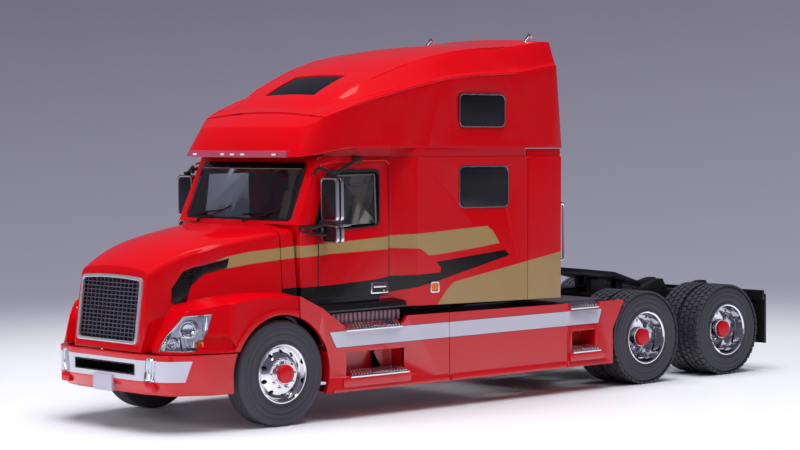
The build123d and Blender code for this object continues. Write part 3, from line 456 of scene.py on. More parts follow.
def red_enamel(name: str, specular: float, *prints: tuple[str, tuple[Patch, ...]]) -> Enamel:
    """Gives the body's red enamel with prints of its own.

    Args:
        name: the finish's name.
        specular: how strongly the coat under the lacquer shines.
        *prints: each print's ink and patches.

    Returns:
        The finish.
    """
    return Enamel(name, "red_paint", "#C3000C", 0.32, grain_mm=0.9, grain_depth=0.002, mottle=0.02,
                  specular=specular, prints=prints)


RED_PAINT = red_enamel("red_enamel", 0.05, (GOLD, GOLD_PATCHES), (INK_BLACK, BLACK_PATCHES))
SKIRT_PAINT = red_enamel("red_enamel_silver_band", 0.6, ("#3A0A10", SKIRT_LINE), (SILVER, SKIRT_BAND))
BUMPER_PAINT = red_enamel("red_enamel_silver_bumper", 0.3, (SILVER, BUMPER_BAND))
CHROME = Finish("vacuum_plated_abs", "chrome", "#E4E4E8", 0.07, 1.0, grain_mm=0.7, grain_depth=0.002, mottle=0.03)
PVC_TYRE = Finish("pvc_tyre", "tyre", "#38373F", 0.55, grain_mm=0.35, grain_depth=0.02, mottle=0.12)
CHASSIS_BLACK = Finish("satin_black_abs", "frame_black", "#141416", 0.42, grain_mm=0.3, grain_depth=0.012, mottle=0.15)
GLOSS_BLACK = Finish("gloss_black_abs", "trim_black", "#09090A", 0.16, grain_mm=0.6, grain_depth=0.003, mottle=0.1)
STEEL = Finish("drawn_steel_pin", "steel_pin", "#A9A9AD", 0.28, 1.0, grain_mm=0.25, grain_depth=0.004)
RED_CAP = Enamel("red_printed_cap", "cap_red", "#C4101C", 0.3, grain_mm=0.5, grain_depth=0.003, mottle=0.04)
DECK_GREY = Finish("grey_painted_deck", "deck_grey", "#4A4A50", 0.4, grain_mm=0.4, grain_depth=0.01)
CLEAR = Clear("clear_polystyrene", "clear_glass", "#F4F6FA", 0.03, ior=1.49, grain_mm=6.0, grain_depth=0.004)
SMOKED = Clear("smoked_polystyrene", "dark_glass", "#0A0A0C", 0.05, ior=1.49, grain_mm=6.0, grain_depth=0.004,
               transmission=0.0)
LENS = Clear("clear_lamp_lens", "lens_clear", "#F6F8FC", 0.04, ior=1.49, grain_mm=0.9, grain_depth=0.02)
AMBER = Finish("amber_lens", "lens_amber", "#F06A08", 0.15, ior=1.49, grain_mm=0.4, grain_depth=0.01)
RED_LENS = Finish("red_lens", "lens_red", "#8E0408", 0.15, ior=1.49, grain_mm=0.4, grain_depth=0.01)
PLATE_WHITE = Finish("printed_plate", "plate_white", "#B9B3C6", 0.35, grain_mm=0.4, grain_depth=0.004)
BEIGE = Finish("beige_seat_plastic", "cabin_beige", "#A08A72", 0.6, grain_mm=0.25, grain_depth=0.03, mottle=0.1)
CABIN_DARK = Finish("dark_cabin_abs", "cabin_dark", "#1C1A1C", 0.5, grain_mm=0.25, grain_depth=0.02, mottle=0.1)
VENT_BLACK = Vented("pitted_black_abs", "trim_black", "#060607", 0.14)
GRILLE_GREY = Finish("grey_painted_abs", "trim_black", "#4C4854", 0.38, grain_mm=0.4, grain_depth=0.004, mottle=0.1)
RUBBER = Finish("black_rubber", "trim_black", "#0E0E10", 0.5, grain_mm=0.3, grain_depth=0.008, mottle=0.1)
DARK_CHROME = Finish("smoked_chrome", "chrome", "#8C8A90", 0.22, 1.0, grain_mm=0.5, grain_depth=0.002, mottle=0.05)
MIRROR_CHROME = Finish("plated_abs_dusty", "chrome", "#C9C9CF", 0.16, 1.0, grain_mm=0.8, grain_depth=0.004, mottle=0.05)
GREASED_STEEL = Finish("greased_black_steel", "frame_black", "#17171A", 0.3, 0.35, grain_mm=0.6, grain_depth=0.012,
                       mottle=0.2)
SATIN_SILVER = Finish("satin_silver_plating", "chrome", "#D9D7E0", 0.3, 0.75, grain_mm=0.4, grain_depth=0.002,
                      mottle=0.04)
# red paint lightened to pale pink: a painted sheen of light on the peak's lower lip and on its lamp bases
PEAK_PAINTED_SHEEN = Finish("pale_red_sprayed_strip", "red_paint", "#A8455C", 0.35, grain_mm=0.6, grain_depth=0.002,
                    mottle=0.04)
SILL_BLACK = Finish("gloss_black_sill", "trim_black", "#131215", 0.12, grain_mm=0.8, grain_depth=0.002, mottle=0.1)
SMOKED_CHROME = Finish("black_chromed_abs", "chrome", "#3A383E", 0.2, 0.8, grain_mm=0.8, grain_depth=0.003, mottle=0.05)
STEP_PANEL = Hatched("hatched_step_panel", "trim_black", "#857480", 0.4, grain_mm=0.4, grain_depth=0.004)
PALE_LAMP = Finish("frosted_clear_lens", "lens_clear", "#EBDCE2", 0.2, ior=1.49, grain_mm=0.4, grain_depth=0.006)
SCREEN_GLASS = Edged("windscreen_polystyrene", "clear_glass", "#DDE2E6", 0.03, ior=1.49, grain_mm=6.0,
                     grain_depth=0.003,
                     clear_area=(Patch(((-19.7, 46.2), (19.7, 46.2), (19.0, 57.6), (-19.0, 57.6)), across=Axis.X),),
                     line_area=(Patch(((-19.4, 57.6), (19.15, 57.6), (19.1, 57.8), (-19.4, 57.8)), across=Axis.X),))
DOOR_GLASS = Edged("door_glass_polystyrene", "clear_glass", "#C9CED2", 0.03, ior=1.49, grain_mm=6.0, grain_depth=0.003,
                   clear_area=(Patch(((16.8, 43.2), (30.6, 43.9), (30.6, 55.9), (18.4, 55.9))),),
                   line_area=(Patch(((16.5, 42.9), (30.9, 43.6), (30.9, 56.2), (18.1, 56.2))),))


CAD_FINISHES: dict[Finish, str] = {
    CHASSIS_BLACK: "frame_rails crossmembers engine_and_gearbox front_axle_beam drive_axle_housings "
                   "suspension propeller_shafts fifth_wheel_bracket fifth_wheel_plate mud_flaps "
                   "rear_crossbar",
    DECK_GREY: "deck_plate",
    SKIRT_PAINT: "side_skirt_left side_skirt_right",
    CHROME: "step_treads grille_surround fog_lamps roof_horns mirror_heads handles front_rims "
            "drive_rims_1 drive_rims_2",
    RED_PAINT: "hood cab_shell side_extenders roof_cap",
    GLOSS_BLACK: "hood_vents grille_mesh mirror_arms",
    BUMPER_PAINT: "bumper",
    PLATE_WHITE: "number_plate",
    LENS: "headlamps",
    CLEAR: "windscreen door_glass",
    SMOKED: "sleeper_windows skylight",
    CABIN_DARK: "cab_floor dashboard steering_wheel",
    BEIGE: "seat_left seat_right bunk",
    AMBER: "marker_lamps",
    RED_LENS: "tail_lamps",
    PVC_TYRE: "front_tyre_left front_tyre_right drive_tyres_1_left drive_tyres_1_right "
              "drive_tyres_2_left drive_tyres_2_right",
    RED_CAP: "front_hub_caps drive_hub_caps_1 drive_hub_caps_2",
    STEEL: "front_axle_pin drive_axle_pin_1 drive_axle_pin_2",
}


def dress_nodes() -> None:
    """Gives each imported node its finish."""
    for finish, names in CAD_FINISHES.items():
        for name in names.split():
            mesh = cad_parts[name].data
            mesh.materials.clear()
            mesh.materials.append(finish.material())


# --- modelling ---


class Piece:
    """A mesh modelled in stations with Blender's operators, and moved into the frame once it is done."""

    def __init__(self, name: str, obj: bpy.types.Object) -> None:
        """Takes over an object and names it.

        Args:
            name: the piece's name.
            obj: the object, its mesh in stations.
        """
        self.name = name
        self.obj = obj
        obj.name = name

    # --- starts

    @classmethod
    def block(cls, name: str, low: Point, high: Point, side: Side = Side.LEFT) -> "Piece":
        """Starts from a cube between two corners.

        Args:
            name: the piece's name.
            low: its lowest corner, as on the left side.
            high: its highest corner, as on the left side.
            side: the side that it stands on.

        Returns:
            The piece.
        """
        bpy.ops.object.select_all(action="DESELECT")
        x, y, z = [(a + b) / 2 for a, b in zip(low, high)]
        bpy.ops.mesh.primitive_cube_add(size=1.0, location=(x * side.value, y, z))
        obj = bpy.context.object
        obj.scale = [b - a for a, b in zip(low, high)]
        bpy.ops.object.transform_apply(location=True, rotation=True, scale=True)
        return cls(name, obj)

    @classmethod
    def drum(cls, name: str, radius: float, start: Point, end: Point, sides: int = 32,
             top: float | None = None) -> "Piece":
        """Starts from a cylinder or cone between two points.

        Args:
            name: the piece's name.
            radius: its radius at the start.
            start: middle of its first end.
            end: middle of its other end.
            sides: how many faces go round it.
            top: its radius at the end, where that differs.

        Returns:
            The piece.
        """
        bpy.ops.object.select_all(action="DESELECT")
        a, b = Vector(start), Vector(end)
        turn = (b - a).to_track_quat("Z", "Y").to_euler()
        bpy.ops.mesh.primitive_cone_add(vertices=sides, radius1=radius, radius2=radius if top is None else top,
                                        depth=(b - a).length, location=(a + b) / 2, rotation=turn)
        bpy.ops.object.transform_apply(location=True, rotation=True, scale=True)
        return cls(name, bpy.context.object)

    @classmethod
    def path(cls, name: str, points: Sequence[Point], closed: bool = False) -> "Piece":
        """Draws a line of vertices, each extruded from the last.

        Args:
            name: the piece's name.
            points: the stations that it passes.
            closed: whether it is closed and filled with a face.

        Returns:
            The piece.
        """
        bpy.ops.object.select_all(action="DESELECT")
        bpy.ops.mesh.primitive_plane_add(size=0.1, location=points[0])
        bpy.ops.object.transform_apply(location=True, rotation=True, scale=True)
        piece = cls(name, bpy.context.object)
        with piece.editing():
            bpy.ops.mesh.select_mode(type="VERT")
            bpy.ops.mesh.merge(type="CENTER")
            for a, b in zip(points, points[1:]):
                bpy.ops.mesh.extrude_vertices_move(TRANSFORM_OT_translate={"value": Vector(b) - Vector(a)})
            if closed:
                piece.pick_vertices(lambda v: v.index in (0, len(points) - 1))
                bpy.ops.mesh.edge_face_add()
                bpy.ops.mesh.select_all(action="SELECT")
                bpy.ops.mesh.edge_face_add()
        return piece

    @classmethod
    def prism(cls, name: str, outline: Sequence[Flat], axis: Axis, start: float, end: float) -> "Piece":
        """Extrudes a flat outline along an axis.

        Args:
            name: the piece's name.
            outline: its points in order, as the other two coordinates.
            axis: the axis that it is extruded along.
            start: where it starts on that axis.
            end: where it ends.

        Returns:
            The piece.
        """
        points = [on_axis(axis, start, a, b) for a, b in outline]
        piece = cls.path(name, points, closed=True)
        with piece.editing():
            bpy.ops.mesh.extrude_region_move(TRANSFORM_OT_translate={"value": on_axis(axis, end - start, 0.0, 0.0)})
            piece.outward()
        return piece

    @classmethod
    def turned(cls, name: str, profile: Sequence[Flat], centre: Point, axis: Axis = Axis.X, steps: int = 64,
               closed: bool = False) -> "Piece":
        """Spins a profile about an axis.

        Args:
            name: the piece's name.
            profile: points of (distance along the axis, radius).
            centre: where the profile is measured from.
            axis: the axis that it is spun about.
            steps: how many faces go round.
            closed: whether the profile's last point joins its first.

        Returns:
            The piece.
        """
        loop = list(profile) + ([profile[0]] if closed else [])
        offset = Vector(centre)
        piece = cls.path(name, [tuple(offset + Vector(on_axis(axis, a, r, 0.0))) for a, r in loop])
        with piece.editing():
            bpy.ops.mesh.spin(steps=steps, angle=math.tau, center=centre, axis=on_axis(axis, 1.0, 0.0, 0.0))
            piece.outward(0.001)
        return piece

    @classmethod
    def rail(cls, name: str, points: Sequence[Point], radius: float, bend: float = 0.0, sides: int = 3) -> "Piece":
        """Makes a round bar along a line.

        Args:
            name: the piece's name.
            points: the stations that it passes.
            radius: the bar's radius.
            bend: how far each corner is cut back to round it.
            sides: how finely the bar is rounded.

        Returns:
            The piece.
        """
        piece = cls.path(name, points)
        if bend:
            with piece.editing():
                piece.pick_vertices(lambda v: len(v.link_edges) == 2)
                bpy.ops.mesh.bevel(affect="VERTICES", offset=bend, segments=4)
        bpy.ops.object.convert(target="CURVE")
        curve = bpy.context.object
        curve.data.bevel_depth = radius
        curve.data.bevel_resolution = sides
        curve.data.use_fill_caps = True
        bpy.ops.object.convert(target="MESH")
        piece.obj = bpy.context.object
        piece.obj.name = name
        with piece.editing():
            piece.outward(0.0005)
        return piece

    @classmethod
    def from_node(cls, name: str, node: str, flat: float = 0.4) -> "Piece":
        """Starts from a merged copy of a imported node.

        Args:
            name: the piece's name.
            node: the node that it copies.
            flat: faces that meet at less than this angle, in degrees, become one.

        Returns:
            The piece.
        """
        bpy.ops.object.select_all(action="DESELECT")
        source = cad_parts[node]
        obj = bpy.data.objects.new(name, source.data.copy())
        bpy.context.collection.objects.link(obj)
        obj.data.materials.clear()
        obj.data.transform(TO_ROW.inverted())
        piece = cls(name, obj)
        with piece.editing():
            bpy.ops.mesh.remove_doubles(threshold=0.002)
            bpy.ops.mesh.dissolve_limited(angle_limit=math.radians(flat))
        return piece

    @classmethod
    def casting(cls, name: str, node: str, finish: Finish, width: float, segments: int, sharp: float, shade: float,
                flat: float = 0.4, body: Body = Body.TRUCK) -> "Piece":
        """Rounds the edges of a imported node's copy and seats it in the node's place.

        Args:
            name: the piece's name.
            node: the node that it stands for.
            finish: what it is made of.
            width: how wide the rounding is.
            segments: how many faces the rounding has.
            sharp: edges sharper than this angle are rounded, degrees.
            shade: faces that meet at less than this angle are shaded as one, degrees.
            flat: faces that meet at less than this angle become one, degrees.
            body: the body that it rides on.

        Returns:
            The piece.
        """
        piece = cls.from_node(name, node, flat).bevel(width, segments, sharp).smooth(shade)
        return piece.seat(finish, node, body=body)

    # --- selecting

    @contextmanager
    def editing(self) -> Iterator[None]:
        """Holds the piece in edit mode, with all of it and nothing else selected.

        Yields:
            Nothing: what is done meanwhile is done to the piece.
        """
        self.alone()
        bpy.ops.object.mode_set(mode="EDIT")
        bpy.ops.mesh.select_all(action="SELECT")
        yield
        bpy.ops.object.mode_set(mode="OBJECT")

    def alone(self) -> None:
        """Makes this the only selected object and the active one."""
        bpy.ops.object.select_all(action="DESELECT")
        self.obj.select_set(True)
        bpy.context.view_layer.objects.active = self.obj

    def pick_vertices(self, test: Callable[[bmesh.types.BMVert], bool]) -> None:
        """Selects vertices, in edit mode.

        Args:
            test: picks them.
        """
        bpy.ops.mesh.select_all(action="DESELECT")
        bpy.ops.mesh.select_mode(type="VERT")
        mesh = bmesh.from_edit_mesh(self.obj.data)
        for vertex in mesh.verts:
            vertex.select_set(test(vertex))
        mesh.select_flush_mode()
        bmesh.update_edit_mesh(self.obj.data)

    def pick_faces(self, test: FaceTest) -> None:
        """Selects faces, in edit mode.

        Args:
            test: picks them.
        """
        bpy.ops.mesh.select_all(action="DESELECT")
        bpy.ops.mesh.select_mode(type="FACE")
        mesh = bmesh.from_edit_mesh(self.obj.data)
        for face in mesh.faces:
            face.select_set(test(face.calc_center_median(), face.normal))
        bmesh.update_edit_mesh(self.obj.data)

    def outward(self, merge: float = 0.0) -> None:
        """Turns every face outwards, in edit mode.

        Args:
            merge: doubles nearer than this are merged first.
        """
        bpy.ops.mesh.select_all(action="SELECT")
        if merge:
            bpy.ops.mesh.remove_doubles(threshold=merge)
        bpy.ops.mesh.normals_make_consistent(inside=False)

    # --- shaping

    def drop_faces(self, test: FaceTest) -> "Piece":
        """Deletes faces.

        Args:
            test: picks them.

        Returns:
            The piece.
        """
        with self.editing():
            self.pick_faces(test)
            bpy.ops.mesh.delete(type="FACE")
        return self

    def recess(self, test: FaceTest, width: float, shift: Point) -> "Piece":
        """Insets the faces that pass a test and extrudes them to another level.

        Args:
            test: picks the faces.
            width: how wide the rim round them is.
            shift: how far they move.

        Returns:
            The piece.
        """
        with self.editing():
            self.pick_faces(test)
            bpy.ops.mesh.inset(thickness=width)
            bpy.ops.mesh.extrude_region_move(TRANSFORM_OT_translate={"value": shift})
        return self

    def modify(self, kind: str, **settings: object) -> "Piece":
        """Adds a modifier, applies it and returns the piece.

        Args:
            kind: the modifier's type.
            **settings: its properties.

        Returns:
            The piece.
        """
        self.alone()
        modifier = self.obj.modifiers.new(kind.lower(), kind)
        for key, value in settings.items():
            setattr(modifier, key, value)
        bpy.ops.object.modifier_apply(modifier=modifier.name)
        return self

    def bevel(self, width: float, segments: int = 2, angle: float = 30.0) -> "Piece":
        """Rounds every edge sharper than an angle, in degrees."""
        return self.modify("BEVEL", width=width, segments=segments, limit_method="ANGLE",
                           angle_limit=math.radians(angle), harden_normals=False, miter_outer="MITER_ARC")

    def subdivide(self, levels: int = 2) -> "Piece":
        """Subdivides and smooths the surface."""
        return self.modify("SUBSURF", levels=levels, render_levels=levels)

    def cut(self, *tools: "Piece") -> "Piece":
        """Cuts other pieces out of this one and deletes them.

        Args:
            *tools: the pieces that are cut out.

        Returns:
            The piece.
        """
        for tool in tools:
            self.modify("BOOLEAN", object=tool.obj, operation="DIFFERENCE", solver="EXACT")
            bpy.data.objects.remove(tool.obj)
        return self

    def both_sides(self) -> "Piece":
        """Adds the mirror image on the other side of the truck."""
        return self.modify("MIRROR", use_axis=(True, False, False), use_mirror_merge=False)

    def moved(self, matrix: Matrix) -> "Piece":
        """Moves or turns the mesh."""
        self.obj.data.transform(matrix)
        return self

    def copy(self, matrix: Matrix | None = None) -> "Piece":
        """Copies the piece with a mesh of its own.

        Args:
            matrix: moves the copy, where one is given.

        Returns:
            The copy.
        """
        obj = self.obj.copy()
        obj.data = self.obj.data.copy()
        bpy.context.collection.objects.link(obj)
        twin = Piece(self.name, obj)
        return twin.moved(matrix) if matrix else twin

    def ring(self, count: int, axis: Axis, centre: Point) -> "Piece":
        """Repeats the piece evenly round an axis.

        Args:
            count: how many there are in all.
            axis: the axis that they stand round.
            centre: a point on the axis.

        Returns:
            The piece with its copies.
        """
        copies = [self.copy(about(centre, Matrix.Rotation(math.tau * k / count, 4, axis.name)))
                  for k in range(1, count)]
        return self.join(*copies)

    def repeat(self, shifts: Sequence[Point]) -> "Piece":
        """Copies the piece by each shift, joins the copies and deletes the piece itself.

        Args:
            shifts: how far each copy is moved.

        Returns:
            The copies, as one piece.
        """
        copies = [self.copy(Matrix.Translation(shift)) for shift in shifts]
        bpy.data.objects.remove(self.obj)
        return copies[0].join(*copies[1:])

    def join(self, *others: "Piece") -> "Piece":
        """Joins other pieces to this one.

        Args:
            *others: the pieces that are joined to it.

        Returns:
            The piece.
        """
        self.alone()
        for other in others:
            other.obj.select_set(True)
        if others:
            bpy.ops.object.join()
        self.obj.name = self.name
        return self

    def smooth(self, angle: float = 35.0) -> "Piece":
        """Shades faces that meet at a flat angle as one surface.

        Args:
            angle: the largest such angle, degrees.

        Returns:
            The piece.
        """
        self.alone()
        bpy.ops.object.shade_smooth_by_angle(angle=math.radians(angle))
        return self

    def seat(self, finish: Finish, *nodes: str, body: Body = Body.TRUCK) -> "Piece":
        """Moves the finished mesh into the frame, dresses it and fixes it to its body.

        Args:
            finish: what it is made of.
            *nodes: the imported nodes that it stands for.
            body: the body that it rides on.

        Returns:
            The piece.
        """
        self.obj.data.transform(TO_ROW)
        self.obj.data.materials.clear()
        self.obj.data.materials.append(finish.material())
        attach(self.obj, body.value)
        if nodes:
            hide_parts(*nodes)
        log.info("%s: %d faces", self.name, len(self.obj.data.polygons))
        return self


def on_axis(axis: Axis, along: float, first: float, second: float) -> Point:
    """Places a flat point in space.

    Args:
        axis: the axis that it stands on.
        along: its place on that axis.
        first: the first of the other two coordinates.
        second: the second of them.

    Returns:
        The point.
    """
    rest = [first, second]
    rest.insert(axis.value, along)
    return (rest[0], rest[1], rest[2])


def about(point: Point, turn: Matrix) -> Matrix:
    """Makes a turn about the origin one about another point."""
    there = Matrix.Translation(point)
    return there @ turn @ there.inverted()


def corner(middle: Flat, radius: float, start: int, points: int) -> list[Flat]:
    """Draws a quarter circle.

    Args:
        middle: its middle.
        radius: its radius.
        start: the angle at which it starts, degrees.
        points: how many points it has.

    Returns:
        Its points in order.
    """
    turns = [math.radians(start + k * 90 / (points - 1)) for k in range(points)]
    return [(middle[0] + radius * math.cos(t), middle[1] + radius * math.sin(t)) for t in turns]


RAKE = about((0.0, *CAB_PIVOT), Matrix.Rotation(-CAB_RAKE, 4, "X"))


# --- wheels ---


@dataclass
class Tyres:
    """PVC tyres: a ribbed tread at the front, cross-cut blocks on the twins."""

    radius: float = 12.0
    half_width: float = 3.3
    bead: float = 6.75
    groove: float = 0.42
    blocks: int = 44

    def carcass(self, name: str, centre: Point, side: Side, tread: float | None = None) -> Piece:
        """Spins one tyre with its sidewall rings and tread grooves.

        Args:
            name: the piece's name.
            centre: the middle of the tyre.
            side: the side of the truck that its face looks to.
            tread: radius of a plain tread that blocks stand on, or nothing for a ribbed one.

        Returns:
            The tyre.
        """
        h, r, g = self.half_width, tread or self.radius, self.groove
        wall = [(0.86, self.bead), (0.93, self.bead + 0.05), (0.95, 7.25), (0.90, 7.4), (0.97, 7.6), (0.995, 8.3),
                (1.0, 8.9), (0.965, 9.0), (0.965, 9.15), (0.995, 9.25), (0.985, 10.1), (0.95, 10.2), (0.95, 10.32),
                (0.97, 10.42), (0.94, 11.0), (0.90, r - 0.55), (0.88, r - 0.38), (0.80, r - 0.15), (0.72, r)]
        ribs = [(0.53, r), (0.50, r - g), (0.43, r - g), (0.40, r), (0.17, r), (0.14, r - g), (0.07, r - g), (0.04, r)]
        half = [(share * h * side.value, q) for share, q in (wall if tread else wall + ribs)]
        ring = half + [(-a, q) for a, q in reversed(half)]
        return Piece.turned(name, ring, centre, steps=96, closed=True).bevel(0.06, 2, 40)

    def lugs(self, centre: Point) -> Piece:
        """Models one row of slanted tread blocks and repeats it round the tyre.

        Args:
            centre: the middle of the tyre.

        Returns:
            The blocks, as one piece.
        """
        x, y, z = centre
        long = math.tau * self.radius / self.blocks * 0.43
        row = []
        foot, top = z + self.radius - self.groove - 0.15, z + self.radius - 0.02
        for offset, half, lean, step in ((-0.78, 0.62, 8.0, 0.5), (-0.27, 0.66, -14.0, 0.0), (0.27, 0.66, 14.0, 0.5),
                                         (0.78, 0.62, -8.0, 0.0)):
            mid = x + offset * self.half_width
            block = Piece.block("lug", (mid - half, y - long, foot), (mid + half, y + long, top)).bevel(0.07, 1)
            round_tyre = Matrix.Rotation(step * math.tau / self.blocks, 4, "X")
            row.append(block.moved(about((mid, y, z), round_tyre @ Matrix.Rotation(math.radians(lean), 4, "Z"))))
        return row[0].join(*row[1:]).ring(self.blocks, Axis.X, centre)

    def build(self) -> None:
        """Builds the front tyres and the twins."""
        for side in Side:
            s, word = side.value, side.name.lower()
            front = self.carcass(f"front_tyre_{word}_moulded", (FRONT_WHEEL_X * s, 0.0, AXLE_Z), side)
            front.smooth(30).seat(PVC_TYRE, f"front_tyre_{word}", body=Body.FRONT_WHEELS)
            for n, y, body in DRIVE_AXLES:
                pair = []
                for x in TWIN_X:
                    centre = (x * s, y, AXLE_Z)
                    tyre = self.carcass(f"drive_tyres_{n}_{word}_moulded", centre, side, self.radius - self.groove)
                    pair.append(tyre.join(self.lugs(centre)))
                pair[0].join(pair[1]).smooth(30).seat(PVC_TYRE, f"drive_tyres_{n}_{word}", body=body)


@dataclass
class Rims:
    """Chromed rims: a domed disc at the front, a deep dish on the twins, both with ten nuts."""

    holes: int = 10
    nuts: int = 10
    nut_turn: float = math.radians(18.0)   # turns the ring of nuts between the hand holes
    steps: int = 80

    def nut(self, at: Point, out: float, length: float) -> Piece:
        """Models one hexagonal nut on its stud and washer.

        Args:
            at: the foot of the nut, on the disc.
            out: +1 or -1, the way that it points along x.
            length: its height.

        Returns:
            The nut.
        """
        x, y, z = at
        nut = Piece.drum("wheel_nut", 0.36, at, (x + out * length, y, z), 6, 0.33).bevel(0.05, 1)
        washer = Piece.drum("washer", 0.46, (x - out * 0.1, y, z), (x + out * 0.12, y, z), 16)
        stud = Piece.drum("stud", 0.16, at, (x + out * (length + 0.22), y, z), 10).bevel(0.04, 1)
        return nut.join(washer, stud)

    def rim(self, name: str, profile: Sequence[Flat], centre: Point, side: Side, hole: Piece, nut: Piece) -> Piece:
        """Spins a rim, cuts its ring of hand holes and sets its ring of nuts.

        Args:
            name: the piece's name.
            profile: points of (distance along the axle, radius), as on the left side.
            centre: where the profile is measured from.
            side: the side of the truck.
            hole: the first hand hole's space.
            nut: the first nut, not yet turned between the holes.

        Returns:
            The rim.
        """
        rim = Piece.turned(name, [(a * side.value, r) for a, r in profile], centre, steps=self.steps, closed=True)
        rim.cut(hole.ring(self.holes, Axis.X, centre)).bevel(0.05, 2, 35)
        nut.moved(about(centre, Matrix.Rotation(self.nut_turn, 4, "X")))
        return rim.join(nut.ring(self.nuts, Axis.X, centre)).smooth(30)

    def front(self, side: Side) -> Piece:
        """Builds a front rim: flange, domed disc, hand holes and nuts.

        Args:
            side: the side of the truck.

        Returns:
            The rim.
        """
        s = side.value
        centre = (FRONT_WHEEL_X * s, 0.0, AXLE_Z)
        profile = [(2.84, 6.75), (3.1, 6.86), (3.3, 6.78), (3.34, 6.55), (3.16, 6.3), (2.6, 6.16), (2.1, 5.98),
                   (1.95, 5.8), (2.25, 5.5), (2.75, 4.95), (3.2, 4.3), (3.45, 3.85), (3.5, 3.6), (3.48, 2.9),
                   (3.62, 2.75), (3.62, 0.8), (0.4, 0.8), (0.4, 3.4), (0.2, 5.6), (-2.8, 6.1), (-2.9, 6.7), (2.6, 6.7)]
        hole = Piece.drum("hand_hole", 0.5, (centre[0] + 0.1 * s, 0.0, AXLE_Z + 5.02),
                          (centre[0] + 5.0 * s, 0.0, AXLE_Z + 5.02), 20)
        nut = self.nut((centre[0] + 3.42 * s, 0.0, AXLE_Z + 3.3), s, 0.5)
        return self.rim(f"front_rim_{side.name.lower()}", profile, centre, side, hole, nut)

    def drive(self, y: float, side: Side) -> Piece:
        """Builds the rims of a twin: a deep outer dish, its hub and nuts, and the inner rim.

        Args:
            y: the axle's station.
            side: the side of the truck.

        Returns:
            The rims, as one piece.
        """
        s = side.value
        centre = (0.0, y, AXLE_Z)
        outer, inner = TWIN_X
        disc = (outer + inner) / 2
        profile = [(outer + 2.84, 6.75), (outer + 3.1, 6.86), (outer + 3.3, 6.78), (outer + 3.32, 6.55),
                   (outer + 3.1, 6.25), (outer + 2.6, 6.12), (outer + 1.4, 5.98), (outer + 1.1, 5.82),
                   (outer + 0.3, 5.75), (disc + 1.6, 5.6), (disc + 1.1, 5.35), (disc + 1.0, 5.0), (disc + 1.15, 3.3),
                   (disc + 1.4, 3.0),
                   (disc + 1.7, 2.72), (outer + 0.7, 2.62), (outer + 1.0, 2.5), (outer + 1.0, 0.8), (inner - 2.9, 0.8),
                   (inner - 2.9, 5.0), (disc - 1.0, 5.0), (inner - 2.8, 6.1), (inner - 2.85, 6.74), (outer + 2.6, 6.74)]
        hole = Piece.drum("hand_hole", 0.42, ((disc + 0.3) * s, y, AXLE_Z + 4.75),
                          ((outer + 3.0) * s, y, AXLE_Z + 4.75), 18)
        nut = self.nut(((disc + 1.05) * s, y, AXLE_Z + 3.7), s, 0.55)
        return self.rim(f"drive_rims_{side.name.lower()}", profile, centre, side, hole, nut)

    def cap(self, name: str, x: float, y: float, side: Side, radius: float, rise: float) -> tuple[Piece, Piece]:
        """Builds a red cap and the bright ring that holds it.

        Args:
            name: what the pair is called.
            x: where the cap stands.
            y: the axle's station.
            side: the side of the truck.
            radius: the cap's radius.
            rise: how far it stands out.

        Returns:
            The cap and its ring.
        """
        s = side.value
        dome = [(-0.2, radius), (0.5 * rise, radius), (0.8 * rise, 0.93 * radius), (0.96 * rise, 0.7 * radius),
                (rise, 0.35 * radius), (rise, 0.0)]
        cap = Piece.turned(name, [(a * s, r) for a, r in dome], (x, y, AXLE_Z), steps=48).smooth(40)
        band = [(-0.2, radius + 0.02), (-0.2, radius + 0.3), (0.25 * rise, radius + 0.28), (0.33 * rise, radius + 0.18),
                (0.33 * rise, radius + 0.02)]
        ring = Piece.turned(name + "_ring", [(a * s, r) for a, r in band], (x, y, AXLE_Z), steps=48, closed=True)
        return cap, ring.smooth(40)

    def build(self) -> None:
        """Builds the rims and caps of all three axles."""
        left, right = (self.front(side) for side in Side)
        rims = left.join(right)
        caps = [self.cap("front_cap", 28.3 * side.value, 0.0, side, 2.15, 1.75) for side in Side]
        rims.name = "front_rims_polished"
        rims.join(caps[0][1], caps[1][1]).seat(CHROME, "front_rims", body=Body.FRONT_WHEELS)
        caps[0][0].name = "front_hub_caps_domed"
        caps[0][0].join(caps[1][0]).seat(RED_CAP, "front_hub_caps", body=Body.FRONT_WHEELS)
        for n, y, body in DRIVE_AXLES:
            left, right = (self.drive(y, side) for side in Side)
            caps = [self.cap("drive_cap", 25.85 * side.value, y, side, 2.25, 1.6) for side in Side]
            left.name = f"drive_rims_{n}_polished"
            left.join(right, caps[0][1], caps[1][1]).seat(CHROME, f"drive_rims_{n}", body=body)
            caps[0][0].name = f"drive_hub_caps_{n}_domed"
            caps[0][0].join(caps[1][0]).seat(RED_CAP, f"drive_hub_caps_{n}", body=body)


# --- nose ---


LAMP_AXIS = Vector((0.7071, -0.7071, 0.0))     # the way that the left headlamp looks
LAMP_ACROSS = Vector((0.7071, 0.7071, 0.0))


